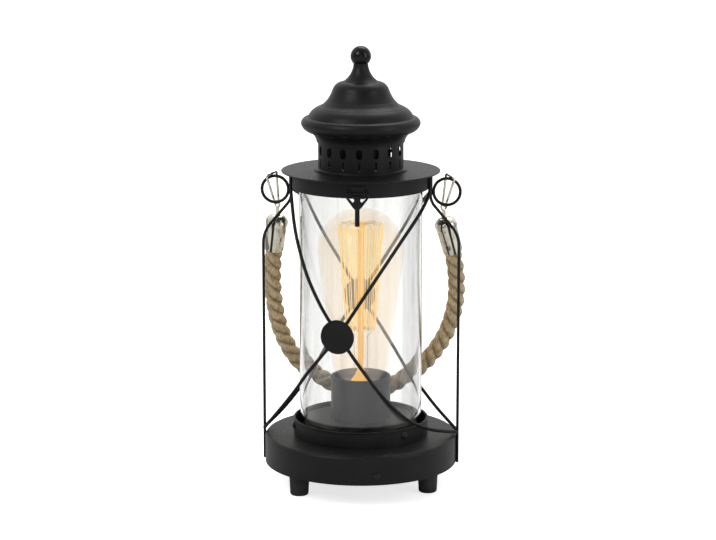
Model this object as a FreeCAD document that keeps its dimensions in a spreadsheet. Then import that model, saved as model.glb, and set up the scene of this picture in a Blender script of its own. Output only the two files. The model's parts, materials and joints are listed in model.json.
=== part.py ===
"""Lantern table lamp with a tilting rope handle and a hinged top, as a parametric document.

Millimetres. +Z is up, the axis of the round base is the Z axis, and the feet stand on z = 0.
The wire uprights stand at +X and -X, the latch faces -Y and the lid's hinge is at +Y.
"""
import FreeCAD, Part
import math
import os

import Sketcher

Vector = FreeCAD.Vector
doc = FreeCAD.newDocument("lantern_table_lamp")

# ---------------------------------------------------------------- driving dimensions
SIZES = {
    # base drum and what closes and carries it
    "drum_radius": 70.0,
    "drum_height": 21.0,
    "drum_wall": 1.2,
    "drum_rounding": 2.5,
    "floor_gap": 18.0,
    "base_plate_recess": 1.0,
    "base_plate_thick": 1.5,
    "base_plate_gap": 0.3,
    "foot_pitch_radius": 54.0,
    "foot_top_radius": 7.6,
    "foot_bottom_radius": 6.6,
    "foot_rounding": 1.4,
    "foot_azimuth": 70.0,
    "foot_recess_radius": 3.6,
    "foot_recess_depth": 6.0,
    "foot_screw_radius": 1.5,
    "foot_screw_head": 3.0,
    "foot_screw_head_height": 2.2,
    "side_screw_radius": 1.4,
    "side_screw_head": 2.6,
    "side_screw_height": 6.2,
    "side_screw_azimuth": 14.6,
    "tab_width": 9.0,
    "inlet_bore": 2.7,
    "grommet_neck": 4.2,
    "grommet_flange": 6.0,
    "grommet_flange_thick": 1.6,
    "inlet_height": 9.5,
    # collar and the raised plate that the glass is centred on
    "collar_radius": 49.0,
    "collar_height": 11.9,
    "collar_wall": 1.0,
    "collar_bead": 0.7,
    "collar_screw_radius": 1.3,
    "collar_screw_head": 2.7,
    "collar_screw_height": 6.8,
    "collar_screw_azimuth": 45.0,
    "plate_height": 10.7,
    "plate_wall": 1.2,
    "plate_draft": 1.8,
    "plate_gap": 0.3,
    # lamp holder under its cover
    "cover_radius": 21.7,
    "cover_height": 32.2,
    "cover_wall": 1.2,
    "cover_bead": 1.0,
    "holder_radius": 17.0,
    "holder_height": 21.0,
    "holder_base": 4.0,
    "thread_shell_radius": 13.9,
    "thread_shell_wall": 0.5,
    "nipple_radius": 5.0,
    "nipple_bore": 3.6,
    "nut_flats": 14.0,
    "nut_thick": 3.0,
    "hole_gap": 0.3,
    "terminal_length": 26.0,
    "terminal_width": 12.0,
    "terminal_height": 9.0,
    "lead_radius": 0.9,
    # bulb
    "bulb_cap_radius": 13.1,
    "bulb_cap_height": 22.0,
    "bulb_neck_radius": 15.0,
    "bulb_shoulder_radius": 20.3,
    "bulb_radius": 32.0,
    "bulb_length": 151.0,
    "bulb_wall": 0.7,
    "stem_radius": 2.4,
    "stem_foot_radius": 7.0,
    "cage_top_radius": 16.5,
    "cage_foot_radius": 5.5,
    "cage_bottom": 62.0,
    "cage_length": 76.0,
    "filament_radius": 0.3,
    "filament_hooks": 9.0,
    "support_radius": 0.3,
    # glass cylinder
    "glass_radius": 44.6,
    "glass_wall": 1.8,
    "glass_height": 189.0,
    "glass_draw_in": 2.4,
    "glass_draw_height": 25.0,
    # cap skirt and lid
    "skirt_radius": 49.4,
    "skirt_wall": 0.8,
    "skirt_height": 11.9,
    "skirt_bottom": 220.6,
    "disc_radius": 57.2,
    "disc_thick": 0.9,
    "disc_rim": 1.1,
    "disc_hole_radius": 27.0,
    "gallery_radius": 30.7,
    "gallery_wall": 0.8,
    "gallery_flange": 2.6,
    "gallery_height": 22.0,
    "window_count": 16.0,
    "window_width": 4.4,
    "window_height": 7.2,
    "window_bottom": 11.6,
    "slit_width": 1.6,
    "slit_height": 6.4,
    "slit_bottom": 3.2,
    "window_azimuth": 3.4,
    "roof_wall": 0.8,
    "brim_radius": 42.9,
    "brim_tube": 4.6,
    "brim_height": 33.7,
    "flare_radius": 36.2,
    "dome_radius": 38.0,
    "dome_height": 7.9,
    "crown_foot_radius": 26.4,
    "crown_waist_radius": 20.4,
    "crown_waist_height": 11.2,
    "crown_shoulder_radius": 12.6,
    "crown_shoulder_height": 17.4,
    "neck_radius": 5.2,
    "crown_height": 30.2,
    "ball_radius": 7.4,
    "stud_radius": 2.0,
    "stud_length": 12.0,
    "finial_nut_flats": 7.0,
    "finial_nut_thick": 2.6,
    # wire cage
    "wire_radius": 0.95,
    "weld_gap": 0.1,
    "upright_foot": 17.4,
    "upright_bend": 186.6,
    "upright_top_bend": 211.1,
    "ring_radius": 9.6,
    "ring_wire": 1.0,
    "ring_height": 218.3,
    "cross_foot_height": 40.5,
    "cross_stand_off": 2.2,
    "cross_disc_radius": 12.3,
    "cross_disc_thick": 1.2,
    "front_disc_azimuth": -13.4,
    "front_disc_height": 121.1,
    "rear_disc_azimuth": 186.4,
    "rear_disc_height": 131.0,
    # latch and lid hinge
    "latch_offset": 2.4,
    "latch_plate_width": 10.6,
    "latch_plate_height": 8.6,
    "latch_sheet": 0.9,
    "latch_pin_radius": 0.8,
    "latch_pin_gap": 0.06,
    "latch_pin_height": 3.6,
    "latch_width": 15.2,
    "latch_arm": 1.7,
    "latch_fork_height": 9.4,
    "latch_stem_width": 3.2,
    "latch_length": 23.0,
    "hinge_width": 18.0,
    "hinge_knuckle": 1.9,
    "hinge_pin_radius": 0.9,
    "hinge_pin_gap": 0.06,
    "hinge_leaf": 0.8,
    "hinge_play": 0.4,
    # rope handle
    "handle_lean": 17.2,
    "handle_axis_height": 227.5,
    "link_wire": 0.75,
    "link_reach": 21.5,
    "link_width": 10.0,
    "link_turn": 50.0,
    "link_offset": 2.5,
    "link_shift": 0.6,
    "link_rise": 2.6,
    "link_apex_radius": 1.7,
    "left_handle_reach": 61.7,
    "right_handle_reach": 59.6,
    "handle_stem_radius": 1.3,
    "eye_radius": 2.4,
    "eye_wire": 0.75,
    "left_ferrule_lean": 8.4,
    "right_ferrule_lean": 13.0,
    "ferrule_start": 31.5,
    "ferrule_length": 27.5,
    "ferrule_cap_radius": 8.1,
    "ferrule_cap_height": 7.0,
    "ferrule_top_radius": 7.6,
    "ferrule_end_radius": 7.3,
    "ferrule_floor": 9.0,
    "rope_radius": 6.5,
    "rope_gap": 0.15,
}

sheet = doc.addObject("Spreadsheet::Sheet", "sizes")
for row, (alias, value) in enumerate(SIZES.items(), start=1):
    sheet.set(f"A{row}", alias)
    sheet.set(f"B{row}", str(value))
    sheet.setAlias(f"B{row}", alias)
doc.recompute()


class Dim:
    """A length or angle: its number now, and the expression that binds it to the sheet."""

    def __init__(self, value, text=None):
        self.value = float(value)
        self.text = text if text is not None else repr(float(value))

    def _join(self, other, sign, swap=False):
        other = other if isinstance(other, Dim) else Dim(other)
        left, right = (other, self) if swap else (self, other)
        results = {
            "+": lambda a, b: a + b,
            "-": lambda a, b: a - b,
            "*": lambda a, b: a * b,
            "/": lambda a, b: a / b,
        }
        return Dim(results[sign](left.value, right.value), f"({left.text} {sign} {right.text})")

    def __add__(self, other):
        return self._join(other, "+")

    def __radd__(self, other):
        return self._join(other, "+", swap=True)

    def __sub__(self, other):
        return self._join(other, "-")

    def __rsub__(self, other):
        return self._join(other, "-", swap=True)

    def __mul__(self, other):
        return self._join(other, "*")

    def __rmul__(self, other):
        return self._join(other, "*", swap=True)

    def __truediv__(self, other):
        return self._join(other, "/")

    def __neg__(self):
        return Dim(0.0) - self

    def __float__(self):
        return self.value


class Sizes:
    """Every driving dimension by name, read from the sheet."""

    def __getattr__(self, alias):
        return Dim(sheet.get(alias), f"sizes.{alias}")


s = Sizes()
ZERO = Dim(0.0)

# ---------------------------------------------------------------- levels and radii used by several pieces
drum_bottom = s.floor_gap
drum_top = drum_bottom + s.drum_height
base_plate_bottom = drum_bottom + s.base_plate_recess
base_plate_top = base_plate_bottom + s.base_plate_thick
base_plate_radius = s.drum_radius - s.drum_wall - s.base_plate_gap
plate_top = drum_top + s.plate_height
cover_inner = s.cover_radius - s.cover_wall
holder_bottom = plate_top + s.plate_gap
holder_floor = holder_bottom + s.holder_base
glass_bottom = drum_top + s.plate_gap
glass_foot_radius = s.glass_radius - s.glass_draw_in
skirt_top = s.skirt_bottom + s.skirt_height
disc_top = skirt_top + s.disc_thick
brim_level = disc_top + s.brim_height
crown_bottom = brim_level + s.brim_tube + s.dome_height + s.hole_gap / 3
crown_top = crown_bottom + s.crown_height
bulb_bottom = holder_floor + s.plate_gap + s.thread_shell_wall
bulb_top = bulb_bottom + s.bulb_length
stem_radius_on_skirt = s.skirt_radius + s.wire_radius + s.weld_gap
upright_reach = s.drum_radius + s.wire_radius + s.weld_gap
ring_reach = stem_radius_on_skirt + s.wire_radius + s.weld_gap + s.ring_radius + s.ring_wire
cross_radius = s.glass_radius + s.cross_stand_off + s.wire_radius
latch_pin_y = s.skirt_radius + s.latch_sheet + s.latch_pin_radius + s.weld_gap + s.weld_gap
hinge_axis_y = s.skirt_radius + s.hinge_knuckle + s.hinge_play
hinge_axis_z = skirt_top - s.hinge_knuckle - s.hinge_play / 2
latch_pin_z = s.skirt_bottom + s.latch_pin_height


# ---------------------------------------------------------------- helpers
def new_body(label):
    """A body that may hold several separate solids, such as three equal screws."""
    body = doc.addObject("PartDesign::Body", label)
    body.Label = label
    body.AllowCompound = True
    return body


def origin_item(body, role):
    return next(item for item in body.Origin.OriginFeatures if item.Role == role)


def new_sketch(body, name, role, offset=None):
    """A sketch on one of the body's own origin planes, moved off it by offset along its normal."""
    sketch = body.newObject("Sketcher::SketchObject", name)
    sketch.AttachmentSupport = [(origin_item(body, role), "")]
    sketch.MapMode = "FlatFace"
    if offset is not None:
        sketch.setExpression("AttachmentOffset.Base.z", offset.text)
    return sketch


def arc_between(start, end, radius):
    """The short arc of a signed radius: positive bows out to the left of the way from start to end."""
    chord = end - start
    reach = abs(radius)
    half = chord.Length / 2
    side = Vector(-chord.y, chord.x, 0).normalize() * math.copysign(1.0, radius)
    centre = (start + end) * 0.5 - side * math.sqrt(max(reach * reach - half * half, 0.0))
    angles = [math.atan2(point.y - centre.y, point.x - centre.x) for point in (start, end)]
    if radius > 0:
        angles.reverse()
    circle = Part.Circle(centre, Vector(0, 0, 1), reach)
    return Part.ArcOfCircle(circle, angles[0], angles[1])


def pin_point(sketch, geo, end, x, y):
    """Holds one end of a line or arc at (x, y), each bound to the sheet."""
    for kind, axis, size in (("DistanceX", -2, x), ("DistanceY", -1, y)):
        if size.text == ZERO.text:
            sketch.addConstraint(Sketcher.Constraint("PointOnObject", geo, end, axis))
            continue
        index = sketch.addConstraint(Sketcher.Constraint(kind, -1, 1, geo, end, size.value))
        sketch.setExpression(f"Constraints[{index}]", size.text)


def draw_loop(sketch, corners):
    """A closed outline. A corner is (x, y) or (x, y, arc radius to the next corner)."""
    corners = [tuple(part if isinstance(part, Dim) else Dim(part) for part in c) for c in corners]
    spots = [Vector(c[0].value, c[1].value, 0) for c in corners]
    ends = []
    for index, corner in enumerate(corners):
        start, end = spots[index], spots[(index + 1) % len(spots)]
        if len(corner) == 2:
            geo = sketch.addGeometry(Part.LineSegment(start, end))
            ends.append((geo, 1, 2))
            continue
        geo = sketch.addGeometry(arc_between(start, end, corner[2].value))
        ends.append((geo, 2, 1) if corner[2].value > 0 else (geo, 1, 2))
        radius = corner[2] if corner[2].value > 0 else -corner[2]
        held = sketch.addConstraint(Sketcher.Constraint("Radius", geo, radius.value))
        sketch.setExpression(f"Constraints[{held}]", radius.text)
    for index, corner in enumerate(corners):
        geo, first, _ = ends[index]
        before, _, last = ends[index - 1]
        sketch.addConstraint(Sketcher.Constraint("Coincident", before, last, geo, first))
        pin_point(sketch, geo, first, corner[0], corner[1])


def draw_circle(sketch, x, y, radius):
    geo = sketch.addGeometry(Part.Circle(Vector(x.value, y.value, 0), Vector(0, 0, 1), radius.value))
    pin_point(sketch, geo, 3, x, y)
    held = sketch.addConstraint(Sketcher.Constraint("Radius", geo, radius.value))
    sketch.setExpression(f"Constraints[{held}]", radius.text)


def revolve(body, name, corners, axis="V_Axis", axis_x=None):
    """Turns an outline drawn in the XZ plane about Z, about X, or about a line parallel to Z at axis_x."""
    sketch = new_sketch(body, f"{name}_outline", "XZ_Plane")
    draw_loop(sketch, corners)
    if axis_x is not None:
        line = sketch.addGeometry(
            Part.LineSegment(Vector(axis_x.value, 0, 0), Vector(axis_x.value, 10, 0)), True
        )
        sketch.addConstraint(Sketcher.Constraint("Vertical", line))
        pin_point(sketch, line, 1, axis_x, ZERO)
        sketch.addConstraint(Sketcher.Constraint("DistanceY", line, 1, line, 2, 10.0))
        axis = "Axis0"
    turned = body.newObject("PartDesign::Revolution", name)
    turned.Profile = sketch
    turned.ReferenceAxis = (sketch, [axis])
    turned.Angle = 360.0
    return turned


def radial_hole(body, name, azimuth, height, radius, reach):
    """A round hole out through the wall at an azimuth, from the Z axis as far as reach."""
    sketch = new_sketch(body, f"{name}_circle", "XZ_Plane")
    turn_sketch(sketch, azimuth)
    draw_circle(sketch, ZERO, height, radius)
    return one_side_cut(body, name, sketch, reach, reverse=True)


def turn_sketch(sketch, azimuth):
    """Turns a sketch on the XZ plane about Z, from facing the front towards +X."""
    sketch.AttachmentOffset = FreeCAD.Placement(Vector(0, 0, 0), FreeCAD.Rotation(Vector(0, 1, 0), 1))
    sketch.setExpression("AttachmentOffset.Rotation.Angle", f"{azimuth.text} * 1deg")


def bore(body, name, role, x, y, radius):
    """A round hole right through the body, square to one of its origin planes."""
    sketch = new_sketch(body, f"{name}_circle", role)
    draw_circle(sketch, x, y, radius)
    hole = body.newObject("PartDesign::Pocket", name)
    hole.Profile = sketch
    hole.Type = "ThroughAll"
    hole.SideType = "Symmetric"
    return hole


def one_side_cut(body, name, sketch, depth, reverse=False):
    """Cuts an outline into the body on one side of its plane only."""
    cut = body.newObject("PartDesign::Pocket", name)
    cut.Profile = sketch
    cut.Type = "Length"
    cut.setExpression("Length", depth.text)
    cut.Reversed = reverse
    return cut


def around(body, features, count):
    """Repeats features evenly about the body's Z axis."""
    pattern = body.newObject("PartDesign::PolarPattern", f"{features[-1].Name}_ring")
    pattern.Originals = features
    pattern.Axis = (origin_item(body, "Z_Axis"), [""])
    pattern.Angle = 360.0
    pattern.Occurrences = count
    body.Tip = pattern
    return pattern


def place(item, x=ZERO, y=ZERO, z=ZERO, turn=None):
    """Puts a sub-part where it belongs, turned about Z by an angle in degrees."""
    if turn is not None:
        item.Placement.Rotation = FreeCAD.Rotation(Vector(0, 0, 1), 0)
        item.setExpression("Placement.Rotation.Angle", f"{turn.text} * 1deg")
    for name, size in (("x", x), ("y", y), ("z", z)):
        if size.text != ZERO.text:
            item.setExpression(f"Placement.Base.{name}", size.text)


def azimuth_point(radius, degrees, z):
    """A point at an azimuth counted from the front (-Y) towards +X."""
    angle = math.radians(float(degrees))
    return Vector(float(radius) * math.sin(angle), -float(radius) * math.cos(angle), float(z))


def bent_path(points, share=0.45, radii=None):
    """Straight runs joined by tangent arcs, each as large as its two runs allow."""
    edges = []
    start = points[0]
    bends = []
    for index in range(1, len(points) - 1):
        into = points[index] - points[index - 1]
        out = points[index + 1] - points[index]
        half_turn = into.getAngle(out) / 2
        trim = share * min(into.Length, out.Length)
        if radii and radii[index - 1] is not None:
            trim = min(trim, float(radii[index - 1]) * math.tan(half_turn))
        radius = trim / math.tan(half_turn)
        bends.append(radius)
        into.normalize()
        out.normalize()
        arc_start = points[index] - into * trim
        arc_end = points[index] + out * trim
        to_centre = (out - into).normalize() * (radius / math.cos(half_turn))
        centre = points[index] + to_centre
        middle = centre - (to_centre.normalize() * radius)
        edges.append(Part.LineSegment(start, arc_start).toShape())
        edges.append(Part.Arc(arc_start, middle, arc_end).toShape())
        start = arc_end
    edges.append(Part.LineSegment(start, points[-1]).toShape())
    return Part.Wire(edges), bends


def tube(path, radius):
    """A round solid swept along a path of lines and tangent arcs."""
    first = path.Edges[0]
    start = first.valueAt(first.FirstParameter)
    along = first.tangentAt(first.FirstParameter)
    ring = Part.Wire(Part.Circle(start, along, float(radius)).toShape())
    solid = path.makePipeShell([ring], True, False)
    return solid if isinstance(solid, Part.Solid) else Part.Solid(solid)


def feature(label, shape):
    item = doc.addObject("Part::Feature", label)
    item.Label = label
    item.Shape = shape
    return item


SUBPARTS = []


def keep(item):
    SUBPARTS.append(item)
    return item


# ---------------------------------------------------------------- base
def make_base_drum():
    """A pressed pan, open below, with holes for the nipple, the cable inlet and the plate's screws."""
    body = new_body("base_drum")
    hole = s.nipple_radius + s.hole_gap
    inner_rounding = s.drum_rounding - s.drum_wall
    revolve(body, "drum_shell", [
        (s.drum_radius, ZERO),
        (s.drum_radius, s.drum_height - s.drum_rounding, -s.drum_rounding),
        (s.drum_radius - s.drum_rounding, s.drum_height),
        (hole, s.drum_height),
        (hole, s.drum_height - s.drum_wall),
        (s.drum_radius - s.drum_rounding, s.drum_height - s.drum_wall, inner_rounding),
        (s.drum_radius - s.drum_wall, s.drum_height - s.drum_rounding),
        (s.drum_radius - s.drum_wall, ZERO),
    ])
    past_wall = s.drum_radius * 1.1
    radial_hole(body, "inlet_hole", Dim(180.0), s.inlet_height, s.grommet_neck + s.hole_gap / 2, past_wall)
    doc.recompute()
    side = radial_hole(body, "side_hole", s.side_screw_azimuth, s.side_screw_height,
                       s.side_screw_radius + s.hole_gap / 2, past_wall)
    around(body, [side], 3)
    place(body, z=drum_bottom)
    keep(body)


def make_base_plate():
    """A flat plate inside the drum, with three turned-up tabs that the side screws pass through."""
    body = new_body("base_plate")
    revolve(body, "plate_disc", [
        (ZERO, ZERO),
        (base_plate_radius, ZERO),
        (base_plate_radius, s.base_plate_thick),
        (ZERO, s.base_plate_thick),
    ])
    tab = new_sketch(body, "tab_outline", "XZ_Plane")
    turn_sketch(tab, s.side_screw_azimuth)
    tab_top = s.side_screw_height * 2 - s.base_plate_recess
    half = s.tab_width / 2
    draw_loop(tab, [(-half, ZERO), (half, ZERO), (half, tab_top), (-half, tab_top)])
    block = body.newObject("PartDesign::Pad", "tab_block")
    block.Profile = tab
    block.setExpression("Length", (base_plate_radius - s.base_plate_gap).text)
    doc.recompute()
    inside = new_sketch(body, "tab_inside", "XZ_Plane")
    turn_sketch(inside, s.side_screw_azimuth)
    draw_loop(inside, [
        (-s.tab_width, s.base_plate_thick),
        (s.tab_width, s.base_plate_thick),
        (s.tab_width, tab_top * 2),
        (-s.tab_width, tab_top * 2),
    ])
    trim = one_side_cut(body, "tab_trim", inside, base_plate_radius - s.base_plate_gap - s.base_plate_thick,
                        reverse=True)
    doc.recompute()
    hole = radial_hole(body, "tab_hole", s.side_screw_azimuth, s.side_screw_height - s.base_plate_recess,
                       s.side_screw_radius + s.hole_gap / 2, s.drum_radius)
    around(body, [block, trim, hole], 3)
    doc.recompute()
    feet_holes = new_sketch(body, "foot_screw_holes", "XY_Plane")
    for third in range(3):
        angle = math.radians(120 * third - 90) + math.radians(s.foot_azimuth.value)
        draw_circle(feet_holes, s.foot_pitch_radius * math.cos(angle),
                    s.foot_pitch_radius * math.sin(angle), s.foot_screw_radius + s.hole_gap / 2)
    drilled = body.newObject("PartDesign::Pocket", "foot_holes")
    drilled.Profile = feet_holes
    drilled.Type = "ThroughAll"
    drilled.SideType = "Symmetric"
    body.Tip = drilled
    place(body, z=base_plate_bottom)
    keep(body)


def make_feet():
    """Three tapered rubber feet with a recess below for the screw's head."""
    body = new_body("feet")
    middle = s.foot_pitch_radius
    height = base_plate_bottom
    slope = (s.foot_top_radius - s.foot_bottom_radius) / height
    side = s.foot_bottom_radius + slope * s.foot_rounding
    foot = revolve(body, "foot_form", [
        (middle + s.foot_recess_radius, ZERO),
        (middle + s.foot_bottom_radius - s.foot_rounding, ZERO, s.foot_rounding * -1.05),
        (middle + side, s.foot_rounding),
        (middle + s.foot_top_radius, height),
        (middle + s.foot_screw_radius + s.hole_gap / 2, height),
        (middle + s.foot_screw_radius + s.hole_gap / 2, s.foot_recess_depth),
        (middle + s.foot_recess_radius, s.foot_recess_depth),
    ], axis_x=middle)
    around(body, [foot], 3)
    place(body, turn=s.foot_azimuth - 90)
    keep(body)


def make_foot_screws():
    """Pan-head screws up through the feet into the base plate."""
    body = new_body("foot_screws")
    middle = s.foot_pitch_radius
    head_low = s.foot_recess_depth - s.foot_screw_head_height
    screw = revolve(body, "foot_screw_form", [
        (middle, head_low),
        (middle + s.foot_screw_head * 0.6, head_low, s.foot_screw_head * -0.9),
        (middle + s.foot_screw_head, s.foot_recess_depth - s.hole_gap * 2),
        (middle + s.foot_screw_head, s.foot_recess_depth),
        (middle + s.foot_screw_radius, s.foot_recess_depth),
        (middle + s.foot_screw_radius, base_plate_top + s.base_plate_thick),
        (middle, base_plate_top + s.base_plate_thick),
    ], axis_x=middle)
    around(body, [screw], 3)
    place(body, turn=s.foot_azimuth - 90)
    keep(body)


def make_radial_screws(label, seat, tip, head, shank, height, azimuth):
    """Three pan-head screws pointing at the Z axis, their heads seated at one radius."""
    body = new_body(label)
    dome = head * 0.55
    screw = revolve(body, f"{label}_form", [
        (tip, ZERO),
        (seat + dome, ZERO),
        (seat + dome, head * 0.45, head * 0.95),
        (seat + dome * 0.35, head),
        (seat, head),
        (seat, shank),
        (tip, shank),
    ], axis="H_Axis")
    around(body, [screw], 3)
    place(body, z=height, turn=azimuth - 90)
    keep(body)


def make_cable_grommet():
    """The rubber bush in the rear wall that a cable passes through."""
    body = new_body("cable_grommet")
    inner = s.drum_radius - s.drum_wall - s.grommet_flange_thick
    outer = s.drum_radius + s.grommet_flange_thick
    revolve(body, "grommet_form", [
        (inner, s.inlet_bore),
        (outer, s.inlet_bore),
        (outer, s.grommet_neck),
        (s.drum_radius + s.hole_gap / 2, s.grommet_flange),
        (s.drum_radius + s.hole_gap / 2, s.grommet_neck),
        (inner + s.grommet_flange_thick - s.hole_gap, s.grommet_neck),
        (inner + s.grommet_flange_thick - s.hole_gap, s.grommet_flange),
        (inner, s.grommet_flange),
    ], axis="H_Axis")
    place(body, z=drum_bottom + s.inlet_height, turn=Dim(90.0))
    keep(body)


def make_terminal_block():
    """The connector block on the base plate, with two wire ways through it."""
    body = new_body("terminal_block")
    outline = new_sketch(body, "block_outline", "XZ_Plane")
    half = s.terminal_length / 2
    draw_loop(outline, [(-half, ZERO), (half, ZERO), (half, s.terminal_height), (-half, s.terminal_height)])
    for side in (-1, 1):
        draw_circle(outline, half / 2 * side, s.terminal_height / 2, s.lead_radius * 2)
    block = body.newObject("PartDesign::Pad", "block_form")
    block.Profile = outline
    block.setExpression("Length", s.terminal_width.text)
    place(body, y=s.terminal_width * 3, z=base_plate_top)
    keep(body)


def make_inner_leads():
    """Two leads from the connector block to the nipple's bore and up into the lamp holder."""
    x = s.terminal_length / 4
    low = float(base_plate_top + s.terminal_height / 2)
    rise = float(s.nipple_bore / 2)
    leads = []
    for side in (-1, 1):
        points = [
            Vector(side * float(x), float(s.terminal_width * 2.4), low),
            Vector(side * float(x), float(s.terminal_width * 1.2), low),
            Vector(side * rise, 0, low),
            Vector(side * rise, 0, float(holder_floor - s.hole_gap)),
        ]
        path, _ = bent_path(points, radii=[None, s.lead_radius * 5])
        leads.append(tube(path, s.lead_radius))
    keep(feature("inner_leads", Part.makeCompound(leads)))


# ---------------------------------------------------------------- glass seat and lamp holder
def make_glass_collar():
    """The band that the glass stands in, with a beaded rim and holes for its screws."""
    body = new_body("glass_collar")
    inner = s.collar_radius - s.collar_wall
    top = s.collar_height - s.collar_bead
    revolve(body, "collar_band", [
        (inner, ZERO),
        (s.collar_radius, ZERO),
        (s.collar_radius, top - s.collar_bead),
        (s.collar_radius + s.collar_bead * 0.4, top, -s.collar_bead),
        (s.collar_radius - s.collar_wall / 2, s.collar_height, -s.collar_bead),
        (inner - s.collar_bead * 0.4, top),
        (inner, top - s.collar_bead),
    ])
    hole = radial_hole(body, "collar_hole", s.collar_screw_azimuth, s.collar_screw_height,
                       s.collar_screw_radius + s.hole_gap / 3, s.collar_radius * 1.1)
    around(body, [hole], 3)
    place(body, z=drum_top)
    keep(body)


def make_seat_plate():
    """The raised plate inside the glass: a flat top on a tapered wall that stands on the drum."""
    body = new_body("seat_plate")
    glass_inside = s.glass_radius - s.glass_wall
    rim = glass_inside - s.glass_draw_in * 0.45 - s.plate_gap
    hole = s.nipple_radius + s.hole_gap
    top = s.plate_height
    revolve(body, "seat_shell", [
        (hole, top),
        (rim - s.plate_wall, top, -s.plate_wall),
        (rim, top - s.plate_wall),
        (rim - s.plate_draft, ZERO),
        (rim - s.plate_draft - s.plate_wall, ZERO),
        (rim - s.plate_wall, top - s.plate_wall),
        (hole, top - s.plate_wall),
    ])
    place(body, z=drum_top)
    keep(body)


def make_nipple_spacer():
    """The sleeve round the nipple that carries the middle of the plate on the drum."""
    body = new_body("nipple_spacer")
    inner = s.nipple_radius + s.hole_gap
    revolve(body, "spacer_form", [
        (inner, ZERO),
        (inner + s.plate_wall * 2, ZERO),
        (inner + s.plate_wall * 2, s.plate_height - s.plate_wall),
        (inner, s.plate_height - s.plate_wall),
    ])
    place(body, z=drum_top)
    keep(body)


def make_holder_cover():
    """The plain sleeve that hides the lamp holder, with its rim rolled inwards."""
    body = new_body("holder_cover")
    inner = cover_inner
    top = s.cover_height
    revolve(body, "cover_sleeve", [
        (inner, ZERO),
        (s.cover_radius, ZERO),
        (s.cover_radius, top - s.cover_bead, -s.cover_bead),
        (s.cover_radius - s.cover_bead, top),
        (inner, top, -s.cover_bead * 0.8),
        (inner - s.cover_bead, top - s.cover_bead * 1.2, -s.cover_bead),
        (inner, top - s.cover_bead * 2.2),
    ])
    place(body, z=plate_top)
    keep(body)


def make_lamp_holder():
    """The insulating cup of the lamp holder, held on the nipple through its floor."""
    body = new_body("lamp_holder")
    bore_radius = s.thread_shell_radius + s.thread_shell_wall + s.hole_gap / 3
    hole = s.nipple_radius + s.hole_gap / 3
    revolve(body, "holder_cup", [
        (hole, ZERO),
        (s.holder_radius - s.holder_base / 4, ZERO),
        (s.holder_radius, s.holder_base / 4),
        (s.holder_radius, s.holder_height - s.holder_base / 4),
        (s.holder_radius - s.holder_base / 4, s.holder_height),
        (bore_radius, s.holder_height),
        (bore_radius, s.holder_base),
        (hole, s.holder_base),
    ])
    place(body, z=holder_bottom)
    keep(body)


def make_thread_shell():
    """The brass sleeve that the bulb's cap screws into."""
    body = new_body("thread_shell")
    inner = s.thread_shell_radius
    outer = inner + s.thread_shell_wall
    high = s.holder_height - s.holder_base
    revolve(body, "shell_sleeve", [
        (inner * 0.72, ZERO),
        (outer, ZERO),
        (outer, high),
        (inner, high),
        (inner, s.thread_shell_wall),
        (inner * 0.72, s.thread_shell_wall),
    ])
    place(body, z=holder_floor)
    keep(body)


def make_nipple():
    """The threaded tube that holds lamp holder, plate and drum together, the leads inside it."""
    body = new_body("threaded_nipple")
    low = s.drum_wall + s.nut_thick + s.plate_wall
    high = s.plate_height + s.plate_gap + s.holder_base
    revolve(body, "nipple_form", [
        (s.nipple_bore, -low),
        (s.nipple_radius, -low),
        (s.nipple_radius, high),
        (s.nipple_bore, high),
    ])
    place(body, z=drum_top)
    keep(body)


def make_nipple_nut():
    """The hexagon nut below the drum's top."""
    body = new_body("nipple_nut")
    outline = new_sketch(body, "nut_outline", "XY_Plane")
    reach = s.nut_flats / math.sqrt(3)
    corners = []
    for step in range(6):
        angle = math.radians(60 * step)
        corners.append((reach * math.cos(angle), reach * math.sin(angle)))
    draw_loop(outline, corners)
    draw_circle(outline, ZERO, ZERO, s.nipple_radius + s.hole_gap / 10)
    nut = body.newObject("PartDesign::Pad", "nut_form")
    nut.Profile = outline
    nut.setExpression("Length", s.nut_thick.text)
    place(body, z=drum_top - s.drum_wall - s.nut_thick)
    keep(body)


def make_glass_cylinder():
    """The clear glass: a tube that draws in towards its foot, with rounded rims."""
    body = new_body("glass_cylinder")
    wall = s.glass_wall
    drop = s.glass_draw_height
    bend = drop * drop / (s.glass_draw_in * 2) + s.glass_draw_in / 2
    revolve(body, "glass_tube", [
        (glass_foot_radius - wall, ZERO),
        (glass_foot_radius, ZERO, -bend),
        (s.glass_radius, drop),
        (s.glass_radius, s.glass_height - wall / 2),
        (s.glass_radius - wall / 2, s.glass_height),
        (s.glass_radius - wall, s.glass_height - wall / 2),
        (s.glass_radius - wall, drop, bend),
    ])
    place(body, z=glass_bottom)
    keep(body)


# ---------------------------------------------------------------- bulb
def make_bulb_glass():
    """The teardrop envelope: a waisted neck that swells to a wide shoulder under a round dome."""
    body = new_body("bulb_glass")
    wall = s.bulb_wall
    top = bulb_top - bulb_bottom
    neck_low = s.bulb_cap_height - s.holder_base
    neck_high = s.bulb_cap_height + s.holder_base * 2.6
    widest = top - s.bulb_radius
    seat = s.bulb_cap_radius - wall
    brink = s.bulb_cap_height + wall / 2
    outer = [
        (seat, neck_low),
        (seat, brink),
        (s.bulb_neck_radius - wall, brink + wall * 2.5, s.bulb_radius),
        (s.bulb_shoulder_radius, neck_high),
        (s.bulb_radius, widest, -s.bulb_radius),
    ]
    revolve(body, "envelope", outer + [
        (ZERO, top),
        (ZERO, top - wall, s.bulb_radius - wall),
        (s.bulb_radius - wall, widest),
        (s.bulb_shoulder_radius - wall, neck_high, -(s.bulb_radius + wall)),
        (s.bulb_neck_radius - wall * 2, brink + wall * 3),
        (seat - wall, brink + wall / 2),
        (seat - wall, neck_low),
    ])
    place(body, z=bulb_bottom)
    keep(body)


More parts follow.
